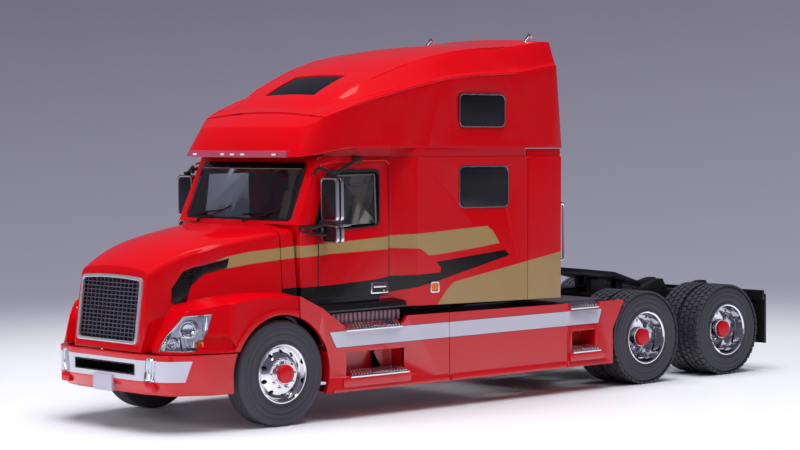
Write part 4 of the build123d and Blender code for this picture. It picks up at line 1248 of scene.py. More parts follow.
@dataclass
class Nose:
    """The hood with its fenders, and the lamps, grille and bumper let into it."""

    grille_foot: Flat = (-28.2, 19.4)
    grille_lean: float = 7.5
    grille_half: float = 12.1
    grille_top: float = 34.4
    rim: float = 0.75
    grille_rise: float = 0.35    # how far the frame's top arches
    columns: int = 14
    rows: int = 15
    projector: Flat = (0.3, 23.0)      # along and up the lamp's face
    side_lamp: Flat = (-3.3, 19.8)
    indicator: Flat = (2.9, 19.6)

    def lean(self) -> Matrix:
        """Gives the turn that leans an upright grille piece back on the hood's face.

        Returns:
            The turn.
        """
        y, z = self.grille_foot
        return (Matrix.Translation((0.0, y, z)) @ Matrix.Rotation(-math.radians(self.grille_lean), 4, "X")
                @ Matrix.Translation((0.0, 0.0, -z)))

    def hood(self) -> None:
        """Rounds the edges of the hood's casting and of its side vents."""
        Piece.casting("hood_casting", "hood", RED_PAINT, 0.22, 3, 24, 40)
        Piece.casting("hood_vents_moulded", "hood_vents", VENT_BLACK, 0.16, 3, 28, 30)

    def arch(self, shrink: float) -> list[Flat]:
        """Gives the grille's outline: a rounded frame whose top is slightly arched.

        Args:
            shrink: how far inside the frame's outer edge it runs.

        Returns:
            The outline's points in order.
        """
        half, r = self.grille_half - shrink, 1.3 - shrink / 2
        low, high = self.grille_foot[1] + shrink, self.grille_top - shrink
        crown = [(half * share, high + self.grille_rise * (1 - share ** 2)) for share in (0.5, 0.25)]
        right = corner((half - r, low + r), r, -90, 7) + corner((half - r, high - r), r, 0, 7) + crown
        return right + [(0.0, high + self.grille_rise)] + [(-x, z) for x, z in reversed(right)]

    def grille(self) -> None:
        """Builds the bright frame, and the wires over a dark back plate."""
        frame_ring = Piece.prism("grille_frame", self.arch(0.0), Axis.Y, -0.7, 0.15)
        frame_ring.cut(Piece.prism("grille_hole", self.arch(self.rim), Axis.Y, -3.0, 3.0)).bevel(0.16, 3, 40)
        frame_ring.moved(self.lean()).smooth(40).seat(SATIN_SILVER, "grille_surround")
        back = Piece.prism("grille_back", self.arch(0.1), Axis.Y, 0.72, 1.12).bevel(0.05, 1)
        back.moved(self.lean()).smooth(40).seat(GLOSS_BLACK, "grille_mesh")
        x0 = self.grille_half - self.rim + 0.1
        z0, z1 = self.grille_foot[1] + self.rim - 0.1, self.grille_top - self.rim + 0.15
        upright = Piece.block("upright", (-0.11, -0.22, z0), (0.11, 0.75, z1)).bevel(0.06, 1)
        level = Piece.block("level", (-x0, -0.16, -0.11), (x0, 0.75, 0.11)).bevel(0.06, 1)
        pitch, step = 2 * x0 / self.columns, (z1 - z0) / self.rows
        wires = upright.repeat([(pitch * (k - self.columns / 2), 0.0, 0.0) for k in range(1, self.columns)])
        wires.join(level.repeat([(0.0, 0.0, z0 + step * k) for k in range(1, self.rows)]))
        wires.moved(self.lean()).smooth(40).seat(GRILLE_GREY)

    def on_lamp(self, spot: Flat, depth: float) -> Vector:
        """Places a point on the left headlamp.

        Args:
            spot: its place along and up the lamp's face.
            depth: its distance out along the lamp's axis.

        Returns:
            The station.
        """
        return LAMP_ACROSS * spot[0] + LAMP_AXIS * depth + Vector((0.0, 0.0, spot[1]))

    def cup(self, name: str, spot: Flat, radii: Span, reach: Span, bore: tuple[float, ...], sides: int) -> Piece:
        """Builds a flared reflector on the lamp.

        Args:
            name: the piece's name.
            spot: its place on the lamp's face.
            radii: its radius at its foot and at its mouth.
            reach: where it starts and ends along the lamp's axis.
            bore: where its bore starts along the axis, and the bore's radius there and beyond the mouth.
            sides: how many faces go round it.

        Returns:
            The reflector.
        """
        shell = Piece.drum(name, radii[0], self.on_lamp(spot, reach[0]), self.on_lamp(spot, reach[1]), sides, radii[1])
        start, end = self.on_lamp(spot, bore[0]), self.on_lamp(spot, 33.0)
        return shell.cut(Piece.drum("bore", bore[1], start, end, sides, bore[2]))

    def lamps(self) -> None:
        """Builds the headlamps: a clear lens over a bright bucket with projector, side lamp and amber block."""
        lens = Piece.from_node("headlamp_lens", "headlamps", 4.0)
        bucket = lens.copy()
        bucket.name = "headlamp_bucket"

        def outer(middle: Vector, normal: Vector) -> bool:
            """Tells the lens's face from the faces behind it."""
            facing = Vector((math.copysign(0.7, middle.x), -0.7, 0.0))
            return normal.dot(facing) > 0.35 and Vector((abs(middle.x), middle.y, 0.0)).dot(LAMP_AXIS) > 30.2

        lens.drop_faces(lambda middle, normal: not outer(middle, normal))
        lens.modify("SOLIDIFY", thickness=0.22, offset=-1.0).smooth(40).seat(LENS, "headlamps")
        bucket.drop_faces(outer).modify("SOLIDIFY", thickness=0.12, offset=-1.0)
        inside = self.cup("projector_ring", self.projector, (1.75, 1.95), (29.6, 31.3), (29.7, 1.35, 1.75), 40)
        inside.bevel(0.08, 2)
        ribs = [Piece.drum("flute", 0.5, self.on_lamp((u, low), 29.75), self.on_lamp((u, high), 29.75), 12)
                for u, low, high in ((-4.9, 18.9, 20.4), (-2.0, 18.9, 20.4), (0.9, 18.9, 20.4), (3.8, 18.7, 25.7))]
        inside.join(self.cup("side_reflector", self.side_lamp, (1.05, 1.25), (29.8, 31.2), (30.0, 0.9, 1.1), 32), *ribs)
        bucket.join(inside.both_sides()).smooth(35).seat(CHROME)
        globe, bulb = (Piece.drum(name, radius, self.on_lamp(spot, 29.9), self.on_lamp(spot, end), sides)
                       for name, radius, spot, end, sides in (("projector_lens", 1.28, self.projector, 30.5, 32),
                                                              ("side_bulb", 0.45, self.side_lamp, 31.0, 20)))
        globe.bevel(0.35, 4, 60).join(bulb.bevel(0.2, 3, 60)).both_sides().smooth(50).seat(LENS)
        amber = Piece.block("lamp_amber", (-0.95, -0.5, -0.75), (0.95, 0.5, 0.75)).bevel(0.15, 2)
        turn = Matrix((LAMP_ACROSS, -LAMP_AXIS, Vector((0, 0, 1)))).transposed().to_4x4()
        amber.moved(Matrix.Translation(self.on_lamp(self.indicator, 31.2)) @ turn)
        amber.both_sides().smooth(40).seat(AMBER)

    def bumper(self) -> None:
        """Rounds the bumper's casting and fills its slot with louvres."""
        Piece.casting("bumper_casting", "bumper", BUMPER_PAINT, 0.12, 2, 25, 24)
        slot = Piece.block("bumper_slot", (-12.1, -28.55, 12.7), (12.1, -28.0, 15.4)).bevel(0.1, 2)
        louvre = Piece.block("louvre", (-11.6, -28.75, 13.35), (11.6, -28.4, 13.5)).bevel(0.04, 1)
        louvres = louvre.repeat([(0.0, 0.0, 0.55 * k) for k in range(3)])
        lip = Piece.prism("slot_lip", self.slot_outline(0.0), Axis.Y, -29.28, -28.5)
        lip.cut(Piece.prism("slot_hole", self.slot_outline(0.22), Axis.Y, -31.0, -27.0)).bevel(0.05, 1)
        slot.join(louvres, lip).smooth(35).seat(CHASSIS_BLACK)

    def fog_lamps(self) -> None:
        """Builds the fog lamps' fluted buckets, their lenses and the feet below them."""
        fogs = Piece.from_node("fog_lamp_buckets", "fog_lamps", 4.0)
        lens = fogs.copy()
        lens.name = "fog_lamp_lens"
        with fogs.editing():
            fogs.pick_faces(lambda middle, normal: normal.y < -0.5)
            bpy.ops.mesh.inset(thickness=0.22)
            bpy.ops.transform.translate(value=(0.0, 0.45, 0.0))
        flutes = [Piece.drum("fog_flute", 0.3, ((15.7 + 0.72 * k) * side.value, -28.15 + 0.2 * k, 12.0),
                             ((16.2 + 0.72 * k) * side.value, -28.15 + 0.2 * k, 16.3), 10)
                  for side in Side for k in range(4)]
        fogs.join(*flutes).smooth(30).seat(CHROME, "fog_lamps")
        lens.drop_faces(lambda middle, normal: normal.y >= -0.5)
        lens.modify("SOLIDIFY", thickness=0.15, offset=-1.0).smooth(30).seat(LENS)
        for side in Side:
            foot = Piece.block(f"fog_lamp_foot_{side.name.lower()}", (15.2, -29.0, 9.3), (18.5, -27.5, 11.3), side)
            foot.bevel(0.3, 3).smooth(35).seat(BUMPER_PAINT)

    def number_plate(self) -> None:
        """Builds the blank number plate with its raised rim."""
        plate = Piece.block("number_plate_blank", (-3.8, -29.95, 8.6), (3.8, -29.2, 12.2)).bevel(0.12, 2)
        plate.recess(lambda middle, normal: normal.y < -0.95 and middle.y < -29.8, 0.25, (0.0, 0.08, 0.0))
        plate.smooth(30).seat(PLATE_WHITE, "number_plate")

    def slot_outline(self, shrink: float) -> list[Flat]:
        """Gives the bumper slot's outline with rounded ends.

        Args:
            shrink: how far inside the slot's edge it runs.

        Returns:
            The outline's points in order.
        """
        r = 0.7
        x, low, high = 12.0 - shrink - r, 12.9 + shrink + r, 15.2 - shrink - r
        return (corner((x, low), r, -90, 5) + corner((x, high), r, 0, 5) + corner((-x, high), r, 90, 5)
                + corner((-x, low), r, 180, 5))

    def build(self) -> None:
        """Builds the whole nose."""
        self.hood()
        self.grille()
        self.lamps()
        self.bumper()
        self.fog_lamps()
        self.number_plate()


# --- cab ---


def edging(name: str, outline: Sequence[Flat], width: float, axis: Axis, start: float, end: float) -> Piece:
    """Makes a flat frame that follows an outline.

    Args:
        name: the piece's name.
        outline: the frame's outer edge, in order.
        width: how wide the frame is.
        axis: the axis that it faces along.
        start: its outer face on that axis.
        end: its inner face on that axis.

    Returns:
        The frame.
    """
    middle = [sum(p[i] for p in outline) / len(outline) for i in (0, 1)]
    reach = [max(abs(p[i] - middle[i]) for p in outline) for i in (0, 1)]
    inner = [tuple(middle[i] + (p[i] - middle[i]) * (1 - width / reach[i]) for i in (0, 1)) for p in outline]
    ring = Piece.prism(name, outline, axis, start, end)
    pad = 2.0 if end > start else -2.0
    return ring.cut(Piece.prism("hole", inner, axis, start - pad, end + pad))


def rounded(points: Sequence[Flat], radius: float, steps: int = 4) -> list[Flat]:
    """Rounds the corners of a convex outline.

    Args:
        points: its corners in order.
        radius: how far back along each side the rounding starts.
        steps: how many points each corner gets.

    Returns:
        The rounded outline.
    """
    result = []
    count = len(points)
    for k in range(count):
        before, at, after = Vector(points[k - 1]), Vector(points[k]), Vector(points[(k + 1) % count])
        a = at + (before - at).normalized() * radius
        b = at + (after - at).normalized() * radius
        for n in range(steps + 1):
            t = n / steps
            spot = a * (1 - t) ** 2 + at * 2 * t * (1 - t) + b * t ** 2
            result.append((spot.x, spot.y))
    return result


@dataclass
class Cab:
    """The cab's casting with its glass, window seals, wipers, seams and handles."""

    half_width: float = 28.4
    door_x: float = 24.8
    door_window: tuple[Flat, ...] = ((11.6, 41.9), (31.2, 43.2), (31.2, 56.0), (16.4, 56.0))
    lower_window: Box = (53.2, 69.4, 46.9, 57.0)
    upper_window: Box = (53.2, 68.2, 66.3, 74.3)
    clip_inset: float = 4.5      # from a window's end to its clip
    wiper_reach: tuple[Span, ...] = ((-14.0, -4.2), (4.2, 14.6))     # x of each pivot and of its arm's end

    def shell(self) -> None:
        """Rounds the casting's edges and those of its side extenders."""
        Piece.casting("cab_casting", "cab_shell", RED_PAINT, 0.16, 2, 25, 26)
        Piece.casting("side_extenders_moulded", "side_extenders", RED_PAINT, 0.2, 3, 28, 30)

    def glass(self) -> None:
        """Dresses the glass and lays the dark seals and the bright lines round it."""
        Piece.casting("windscreen_pane", "windscreen", SCREEN_GLASS, 0.06, 1, 40, 30, 0.2)
        Piece.casting("door_panes", "door_glass", DOOR_GLASS, 0.06, 1, 40, 30, 0.2)
        Piece.casting("sleeper_panes", "sleeper_windows", SMOKED, 0.15, 3, 40, 30, 0.2)
        frames = []
        for y0, y1, z0, z1 in (self.lower_window, self.upper_window):
            outline = rounded([(y0, z0), (y1, z0), (y1, z1), (y0, z1)], 1.5)
            ring = edging("window_frame", outline, 0.28, Axis.X, self.half_width - 0.5, self.half_width + 0.14)
            frames.append(ring.bevel(0.05, 1))
            for y in (y0 + self.clip_inset, y1 - self.clip_inset):
                frames.append(Piece.block("window_clip", (self.half_width - 0.3, y - 0.5, z1 - 0.3),
                                          (self.half_width + 0.22, y + 0.5, z1 + 0.12)).bevel(0.08, 1))
        frames[0].name = "sleeper_window_frames"
        frames[0].join(*frames[1:]).both_sides().moved(RAKE).smooth(35).seat(DARK_CHROME)
        outline = [(y + (y - 22.0) * 0.03, z + (z - 49.5) * 0.04) for y, z in rounded(self.door_window, 1.6)]
        seal = edging("door_window_seals", outline, 0.5, Axis.X, self.door_x - 0.6, self.door_x + 0.16)
        seal.bevel(0.08, 2).both_sides().moved(RAKE).smooth(35).seat(RUBBER)

    def trim(self) -> None:
        """Builds the drip ledges, the door seams and handles, the side markers' bezels and the grab handles."""
        x = self.door_x
        line = [(x - 0.35, 14.0, 57.2), (x - 0.15, 17.5, 58.1), (x - 0.1, 33.0, 58.5), (x - 0.1, 34.4, 57.6)]
        ledge = Piece.rail("drip_ledges", line, 0.28, 0.6)
        ledge.both_sides().moved(RAKE).smooth(60).seat(RED_PAINT)
        seams = [Piece.block("door_seams", (x - 0.04, 34.2, 27.5), (x + 0.03, 34.42, 57.0)),
                 Piece.block("seam", (x - 0.04, 10.6, 26.6), (x + 0.03, 34.2, 26.82)),
                 Piece.block("seam", (x - 0.3, 13.05, 26.6), (x + 0.03, 13.22, 42.0))]
        seams[0].join(*seams[1:]).bevel(0.02, 1).both_sides().moved(RAKE).smooth(30).seat(RUBBER)
        hub = Piece.block("door_handles_and_bezels", (x - 0.1, 28.75, 27.1), (x + 0.16, 34.05, 29.85)).bevel(0.3, 3)
        hub.recess(lambda middle, normal: normal.x > 0.95 and middle.x > x + 0.1, 0.3, (-0.2, 0.0, 0.0))
        handle = Piece.block("grip", (x, 29.3, 28.5), (x + 0.5, 33.3, 29.3)).bevel(0.25, 3)
        lock = Piece.drum("lock", 0.3, (x, 32.6, 27.8), (x + 0.25, 32.6, 27.8), 16).bevel(0.05, 1)
        outline = rounded([(43.9, 27.0), (46.8, 27.0), (46.8, 29.8), (43.9, 29.8)], 0.6)
        bezel = edging("bezel", outline, 0.5, Axis.X, self.half_width - 0.05, self.half_width + 0.35).bevel(0.1, 2)
        (gx, gy), ends = (27.8, 87.3), (33.5, 47.5)
        line = [(gx, gy, ends[1]), (gx, gy + 1.5, ends[1]), (gx, gy + 1.5, ends[0]), (gx, gy, ends[0])]
        grab = Piece.rail("grab", line, 0.35, 0.7, 4)
        feet = [Piece.drum("foot", 0.7, (gx, gy, z), (gx, gy + 0.45, z), 20, 0.55).bevel(0.1, 2) for z in ends]
        hub.join(handle, lock, bezel, grab, *feet).both_sides().moved(RAKE).smooth(35).seat(CHROME, "handles")

    def wipers(self) -> None:
        """Builds the two wipers: pivot, arm, blade holder and rubber."""
        parts = []
        for x, tip in self.wiper_reach:
            y = 7.1 + 0.0021 * x * x            # the cowl's bow
            end = (tip, 7.55 + 0.004 * tip * tip, 46.6)
            pivot = Piece.drum("wipers", 0.5, (x, y - 0.1, 43.7), (x, y - 0.5, 44.3), 16, 0.35).bevel(0.1, 2)
            arm = Piece.rail("arm", [(x, y - 0.5, 44.1), ((x + tip) / 2, y - 0.55, 45.0), end], 0.16, 0.5, 2)
            parts += [pivot, arm]
            for drop, thick in ((0.0, 0.2), (0.22, 0.12)):
                foot = (x - 0.4, y + 0.15 - drop * 0.2, 45.6 + drop)
                blade = [foot, end, (tip + 2.6, end[1] + 0.1, 47.6 + drop * 0.6)]
                parts.append(Piece.rail("blade", blade, thick, 0.0, 1))
        parts[0].join(*parts[1:]).moved(RAKE).smooth(50).seat(RUBBER)

    def build(self) -> None:
        """Builds the cab."""
        self.shell()
        self.glass()
        self.trim()
        self.wipers()


@dataclass
class Roof:
    """The high roof cap with its peak, skylight, marker lamps and horns."""

    peak_foot: float = 60.55     # the casting's front is cut off above this height
    peak_back: float = 16.85     # and in front of this station
    horn_foot: Point = (18.6, 83.6, 87.3)
    horn_tip: Point = (18.6, 86.2, 89.75)

    def cap(self) -> None:
        """Cuts the cap's front off for the peak, and rounds its edges and those of the skylight."""
        cap = Piece.from_node("roof_casting", "roof_cap")
        cap.cut(Piece.block("front_cut", (-40.0, 0.0, self.peak_foot), (40.0, self.peak_back, 90.0)))
        cap.bevel(0.3, 3, 22).smooth(32).seat(RED_PAINT, "roof_cap")
        Piece.casting("skylight_pane", "skylight", SMOKED, 0.12, 2, 40, 30, 0.2)

    def peak(self) -> None:
        """Lofts the peak from its lower edge to its ridge, and lays a band along its foot whose pale red is a painted
        sheen of light.
        """
        foot = [(0.0, 7.75, 60.3), (6.0, 7.8, 60.3), (12.0, 7.95, 60.3), (16.0, 8.25, 60.3), (19.0, 8.8, 60.3),
                (21.9, 9.6, 60.35), (23.2, 11.5, 60.5), (23.9, 14.0, 60.7), (24.5, 17.0, 61.2), (25.1, 20.0, 61.7),
                (25.6, 22.8, 62.0), (26.0, 24.6, 62.1)]
        ridge = [(0.0, 11.2, 67.5), (6.0, 11.25, 67.5), (12.0, 11.5, 67.5), (15.6, 12.0, 67.5), (18.0, 12.5, 67.5),
                 (19.7, 13.3, 67.55), (21.1, 14.4, 68.05), (22.35, 15.9, 68.85), (23.35, 17.9, 70.1),
                 (24.2, 20.0, 70.95), (24.7, 22.8, 71.8), (25.05, 24.6, 72.4)]
        half = len(foot)
        rings = [[(x * 0.9, y + 1.2, z + 0.1) for x, y, z in foot], foot]
        swells = [(0.1 * k / (half - 1), 0.06 * k - 0.8, 0.2) for k in range(half)]
        for t in (0.08, 0.3, 0.55, 0.78, 0.94):
            bulge = 1.6 * t * (1 - t)
            rings.append([tuple(a + (b - a) * t + bulge * c for a, b, c in zip(*spots))
                          for spots in zip(foot, ridge, swells)])
        tuck = [(0.0, 17.35, 71.2), (5.0, 17.35, 71.14), (10.0, 17.35, 70.92), (13.6, 17.35, 70.68),
                (16.4, 17.35, 70.45), (18.3, 17.35, 70.32), (19.8, 17.3, 70.2), (21.3, 17.2, 70.05),
                (22.5, 18.1, 69.9), (23.3, 20.1, 70.7),
                (23.9, 22.9, 71.7), (24.2, 24.7, 72.2)]
        bent = [tuple(a + (b - a) * 0.12 for a, b in zip(*spots)) for spots in zip(ridge, tuck)]
        rings += [ridge, bent, tuck, [(x * 0.97, y + 1.5, z - 0.4) for x, y, z in tuck]]
        bpy.ops.object.select_all(action="DESELECT")
        bpy.ops.mesh.primitive_grid_add(x_subdivisions=half - 1, y_subdivisions=len(rings) - 1, size=1.0)
        skin = Piece("roof_peak", bpy.context.object)
        for vertex in skin.obj.data.vertices:
            column, row = (vertex.co.x + 0.5) * (half - 1), (vertex.co.y + 0.5) * (len(rings) - 1)
            vertex.co = rings[round(row)][round(column)]
        skin.modify("MIRROR", use_axis=(True, False, False), merge_threshold=0.01)
        with skin.editing():
            skin.outward(0.001)
        skin.subdivide(2).smooth(60).seat(RED_PAINT)
        # the band's pale red is painted sheen, standing in for the light that the peak's lower lip catches
        edge = [(x, y) for x, y, _ in foot[:5]]
        outline = [(x, y - 0.12) for x, y in edge] + [(x, y + 0.9) for x, y in reversed(edge)]
        strip = Piece.prism("peak_strip", outline, Axis.Z, 60.42, 61.95)
        strip.bevel(0.06, 2, 40).both_sides().smooth(50).seat(PEAK_PAINTED_SHEEN)

    def beads(self) -> None:
        """Rolls a soft bead along the brow's edge and along the crown's shoulder, where the light catches them."""
        brow = [(22.5, 17.6, 68.3), (24.05, 19.6, 69.75), (24.6, 22.0, 70.6), (25.9, 28.0, 72.7),
                (26.8, 34.5, 74.4), (27.4, 41.5, 76.1), (27.8, 49.0, 77.7), (27.8, 57.0, 78.7), (27.6, 65.0, 79.2),
                (27.3, 73.0, 79.7)]
        crown = [(15.9, 18.4, 69.4), (17.2, 22.2, 71.9), (18.7, 28.0, 75.3), (19.8, 34.5, 78.1), (21.0, 41.5, 80.8),
                 (22.2, 49.0, 83.0), (22.6, 57.0, 84.6), (22.8, 65.0, 85.5), (23.0, 73.0, 86.0)]
        lines = [Piece.rail("roof_beads", [(x - 0.12, y, z - 0.1) for x, y, z in line], 0.26, 1.2, 4)
                 for line in (brow, crown)]
        lines[0].join(lines[1]).both_sides().moved(RAKE).smooth(60).seat(RED_PAINT)

    def lamps(self) -> None:
        """Builds the five lamps under the peak and the two side markers, each a lens on a base."""
        lamps, bases = [], []
        for x, y in ((0.0, 7.75), (3.94, 7.78), (-3.94, 7.78), (15.5, 8.15), (-15.5, 8.15)):
            lamps.append(Piece.block("lamp", (x - 0.8, y - 0.34, 60.85), (x + 0.8, y + 0.6, 61.3)).bevel(0.16, 3))
            bases.append(Piece.block("base", (x - 1.1, y - 0.22, 60.65), (x + 1.1, y + 0.6, 61.5)).bevel(0.12, 2))
        lamps[0].name, bases[0].name = "peak_lamps", "peak_lamp_bases"
        lamps[0].join(*lamps[1:]).smooth(40).seat(PALE_LAMP)
        # the lamp bases take the same painted sheen as the band along the peak's foot
        bases[0].join(*bases[1:]).smooth(40).seat(PEAK_PAINTED_SHEEN)
        lens = Piece.block("side_marker_lenses", (28.35, 44.4, 27.5), (28.72, 46.3, 29.3)).bevel(0.18, 3)
        lens.both_sides().moved(RAKE).smooth(40).seat(AMBER, "marker_lamps")

    def horns(self) -> None:
        """Builds the two tapered horns that lean back at the rear of the roof."""
        x, y, z = self.horn_foot
        profile = [(0.0, 0.46), (1.2, 0.5), (2.2, 0.56), (2.9, 0.66), (3.05, 0.74), (3.05, 0.56), (2.4, 0.3),
                   (2.3, 0.0)]
        bell = Piece.turned("roof_horns_tapered", profile, ORIGIN, Axis.Z, 28)
        aim = Vector(self.horn_tip) - Vector(self.horn_foot)
        bell.moved(Matrix.Translation(self.horn_foot) @ aim.to_track_quat("Z", "Y").to_matrix().to_4x4())
        foot = Piece.drum("horn_foot", 0.75, (x, y, z - 0.4), (x, y, z + 0.25), 24, 0.55).bevel(0.1, 2)
        bell.join(foot).both_sides().moved(RAKE).smooth(45).seat(CHROME, "roof_horns")

    def build(self) -> None:
        """Builds the roof."""
        self.cap()
        self.peak()
        self.beads()
        self.lamps()
        self.horns()


@dataclass
class Mirrors:
    """Two chromed housings a side on a bent black bracket."""

    low: Point = (25.3, 13.9, 45.9)
    high: Point = (31.0, 15.9, 55.7)
    spot_low: float = 40.9
    spot_high: float = 44.9
    bars: tuple[tuple[tuple[Point, ...], float, float], ...] = (      # each bar's line, radius and bend
        (((24.3, 25.2, 59.7), (25.6, 23.0, 59.0), (28.6, 15.2, 56.6), (28.5, 14.9, 55.3)), 0.46, 0.8),
        (((28.5, 15.3, 56.4), (25.4, 14.4, 57.9), (24.1, 13.4, 57.6), (23.7, 13.2, 56.3)), 0.42, 0.7),
        (((23.3, 9.9, 44.7), (25.0, 11.4, 44.2), (27.6, 14.6, 45.5), (28.3, 14.9, 46.5)), 0.4, 0.7),
        (((23.2, 9.6, 43.6), (25.2, 11.6, 42.8), (27.6, 14.4, 42.6)), 0.26, 0.7),
        (((28.5, 14.9, 44.6), (28.5, 14.9, 46.6)), 0.42, 0.0))

    def housing(self, z0: float, z1: float) -> tuple[Piece, Piece, Piece]:
        """Builds a housing and the mirror in it.

        Args:
            z0: its foot.
            z1: its top.

        Returns:
            The housing, its mirror and its two bright rims.
        """
        x0, y0, _ = self.low
        x1, y1, _ = self.high
        shell = Piece.block("mirror_housings", (x0, y0, z0), (x1, y1, z1))
        with shell.editing():
            shell.pick_faces(lambda middle, normal: normal.y < -0.9)
            bpy.ops.transform.resize(value=(0.93, 1.0, 0.95), center_override=((x0 + x1) / 2, y0, (z0 + z1) / 2))
        shell.bevel(0.6, 4, 30)
        parts = []
        for name, d, r, start, end in (("mirror_rims", -0.1, 1.1, y1 - 0.75, y1 + 0.05),
                                       ("hole", 0.35, 0.9, y1 - 2.0, y1 + 2.0)):
            outline = rounded([(x0 + d, z0 + d), (x1 - d, z0 + d), (x1 - d, z1 - d), (x0 + d, z1 - d)], r)
            parts.append(Piece.prism(name, outline, Axis.Y, start, end))
        rim, hole = parts
        rim.cut(hole).bevel(0.12, 2, 40)
        rim.join(rim.copy(Matrix.Translation((0.0, y0 - y1 + 0.62, 0.0))))
        shell.recess(lambda middle, normal: normal.y > 0.95 and middle.y > y1 - 0.1, 0.14, (0.0, -0.3, 0.0))
        face = Piece.block("mirror_faces", (x0 + 0.6, y1 - 0.32, z0 + 0.6), (x1 - 0.6, y1 - 0.22, z1 - 0.6))
        return shell, face.bevel(0.25, 3, 60), rim

    def build(self) -> None:
        """Builds the mirrors and their brackets."""
        main, face, rim = self.housing(self.low[2], self.high[2])
        spot, spot_face, spot_rim = self.housing(self.spot_low, self.spot_high)
        main.join(spot).both_sides().smooth(35).seat(SMOKED_CHROME, "mirror_heads")
        rim.join(spot_rim).both_sides().smooth(35).seat(MIRROR_CHROME)
        face.join(spot_face).both_sides().smooth(35).seat(CHROME)
        bars = [Piece.rail("mirror_brackets", line, radius, bend, 4) for line, radius, bend in self.bars]
        boss = Piece.block("boss", (27.9, 14.2, 55.0), (29.2, 15.7, 56.6)).bevel(0.25, 3)
        plate = Piece.block("plate", (22.6, 9.3, 43.2), (23.5, 10.3, 45.3)).bevel(0.2, 2)
        foot = Piece.block("foot", (23.7, 24.2, 58.9), (25.0, 26.4, 60.4)).bevel(0.3, 3)
        bars[0].join(*bars[1:], boss, plate, foot).both_sides().smooth(50).seat(CHASSIS_BLACK, "mirror_arms")


# --- skirts, chassis and rear end ---


@dataclass
class Skirts:
    """The side skirts with the ribbed treads of their steps."""

    x: float = 28.5
    steps: tuple[tuple[float, float, float, float], ...] = (
        (19.0, 36.8, 9.5, 4.6), (90.9, 100.6, 9.9, 4.6), (17.9, 34.8, 20.3, 2.6), (90.2, 100.0, 20.9, 2.6))
    pocket: Box = (18.25, 35.7, 10.0, 15.4)   # the front lower step's pocket
    tread_end: float = 0.4       # the plain end of a tread
    rib_pitch: float = 0.85      # at least
    arch_radius: float = 13.3

    def tread(self, y0: float, y1: float, z: float, deep: float) -> Piece:
        """Models one tread: a tray whose nose is cut into ribs.

        Args:
            y0: its front end.
            y1: its rear end.
            z: its underside.
            deep: how far it reaches in.

        Returns:
            The tread.
        """
        x = self.x
        outline = [(x - deep, z), (x + 0.75, z), (x + 0.75, z + 0.55), (x + 0.4, z + 0.65), (x - 0.9, z + 1.55),
                   (x - deep, z + 1.6)]
        tray = Piece.prism("step_treads_ribbed", outline, Axis.Y, y0, y1).bevel(0.12, 2)
        outline = [(x + 0.35, z + 0.5), (x + 0.5, z + 0.85), (x - 0.8, z + 1.9), (x - 1.1, z + 1.5)]
        rib = Piece.prism("rib", outline, Axis.Y, -0.24, 0.24).bevel(0.07, 1)
        ribbed = y1 - y0 - 2 * self.tread_end
        count = int(ribbed / self.rib_pitch)
        start, pitch = y0 + self.tread_end, ribbed / count
        return tray.join(rib.repeat([(0.0, start + pitch * (k + 0.5), 0.0) for k in range(count)]))

    def pocket_space(self, side: Side) -> Piece:
        """Gives the space of the front lower step's pocket."""
        y0, y1, z0, z1 = self.pocket
        return Piece.block("pocket_space", (23.75, y0, z0), (self.x + 1.0, y1, z1), side)

    def ledges(self) -> None:
        """Builds the ledges under the lower treads, the flared lip, the sill and the upper step's panel."""
        x = self.x
        ledges = [Piece.block("step_ledges", (x - 1.0, y0, z0), (x + 0.75, y1, z1)).bevel(0.45, 4)
                  for y0, y1, z0, z1 in ((16.9, 37.4, 7.4, 9.75), (89.9, 101.8, 7.9, 10.1))]
        profile = [(x - 0.3, 6.42), (x + 0.35, 6.42), (x + 0.5, 6.8), (x + 0.4, 7.5), (x - 0.1, 8.3)]
        for y0, y1 in ((14.2, 49.6), (50.4, 88.9)):
            ledges.append(Piece.prism("lip", profile, Axis.Y, y0, y1).bevel(0.15, 3, 20))
        ledges[0].join(*ledges[1:]).both_sides().smooth(45).seat(SKIRT_PAINT)
        profile = [(24.3, 23.6), (25.9, 23.7), (26.9, 24.9), (26.7, 26.3), (24.6, 26.9)]
        sill = Piece.prism("door_sills", profile, Axis.Y, 7.5, 40.5)
        sill.bevel(0.3, 3, 20).both_sides().smooth(45).seat(SILL_BLACK)
        panel = Piece.block("upper_step_panels", (25.9, 16.0, 22.0), (26.4, 36.3, 24.6)).bevel(0.1, 2)
        panel.both_sides().smooth(35).seat(STEP_PANEL)

    def build(self) -> None:
        """Builds the skirts and treads."""
        for side in Side:
            word = side.name.lower()
            skirt = Piece.from_node(f"skirt_casting_{word}", f"side_skirt_{word}")
            skirt.cut(self.pocket_space(side))
            filler = Piece.block("step_pocket", (22.6, 11.5, 9.0), (self.x - 0.01, self.pocket[1] + 1.0, 16.6), side)
            inner, outer = ((x * side.value, 0.0, AXLE_Z) for x in (20.0, 30.0))
            filler.cut(Piece.drum("arch", self.arch_radius, inner, outer, 96), self.pocket_space(side))
            skirt.bevel(0.3, 3, 28)
            skirt.join(filler.bevel(0.2, 3, 40)).smooth(40).seat(SKIRT_PAINT, f"side_skirt_{word}")
        self.ledges()
        treads = [self.tread(*step) for step in self.steps]
        treads[0].join(*treads[1:]).both_sides().smooth(35).seat(CHROME, "step_treads")


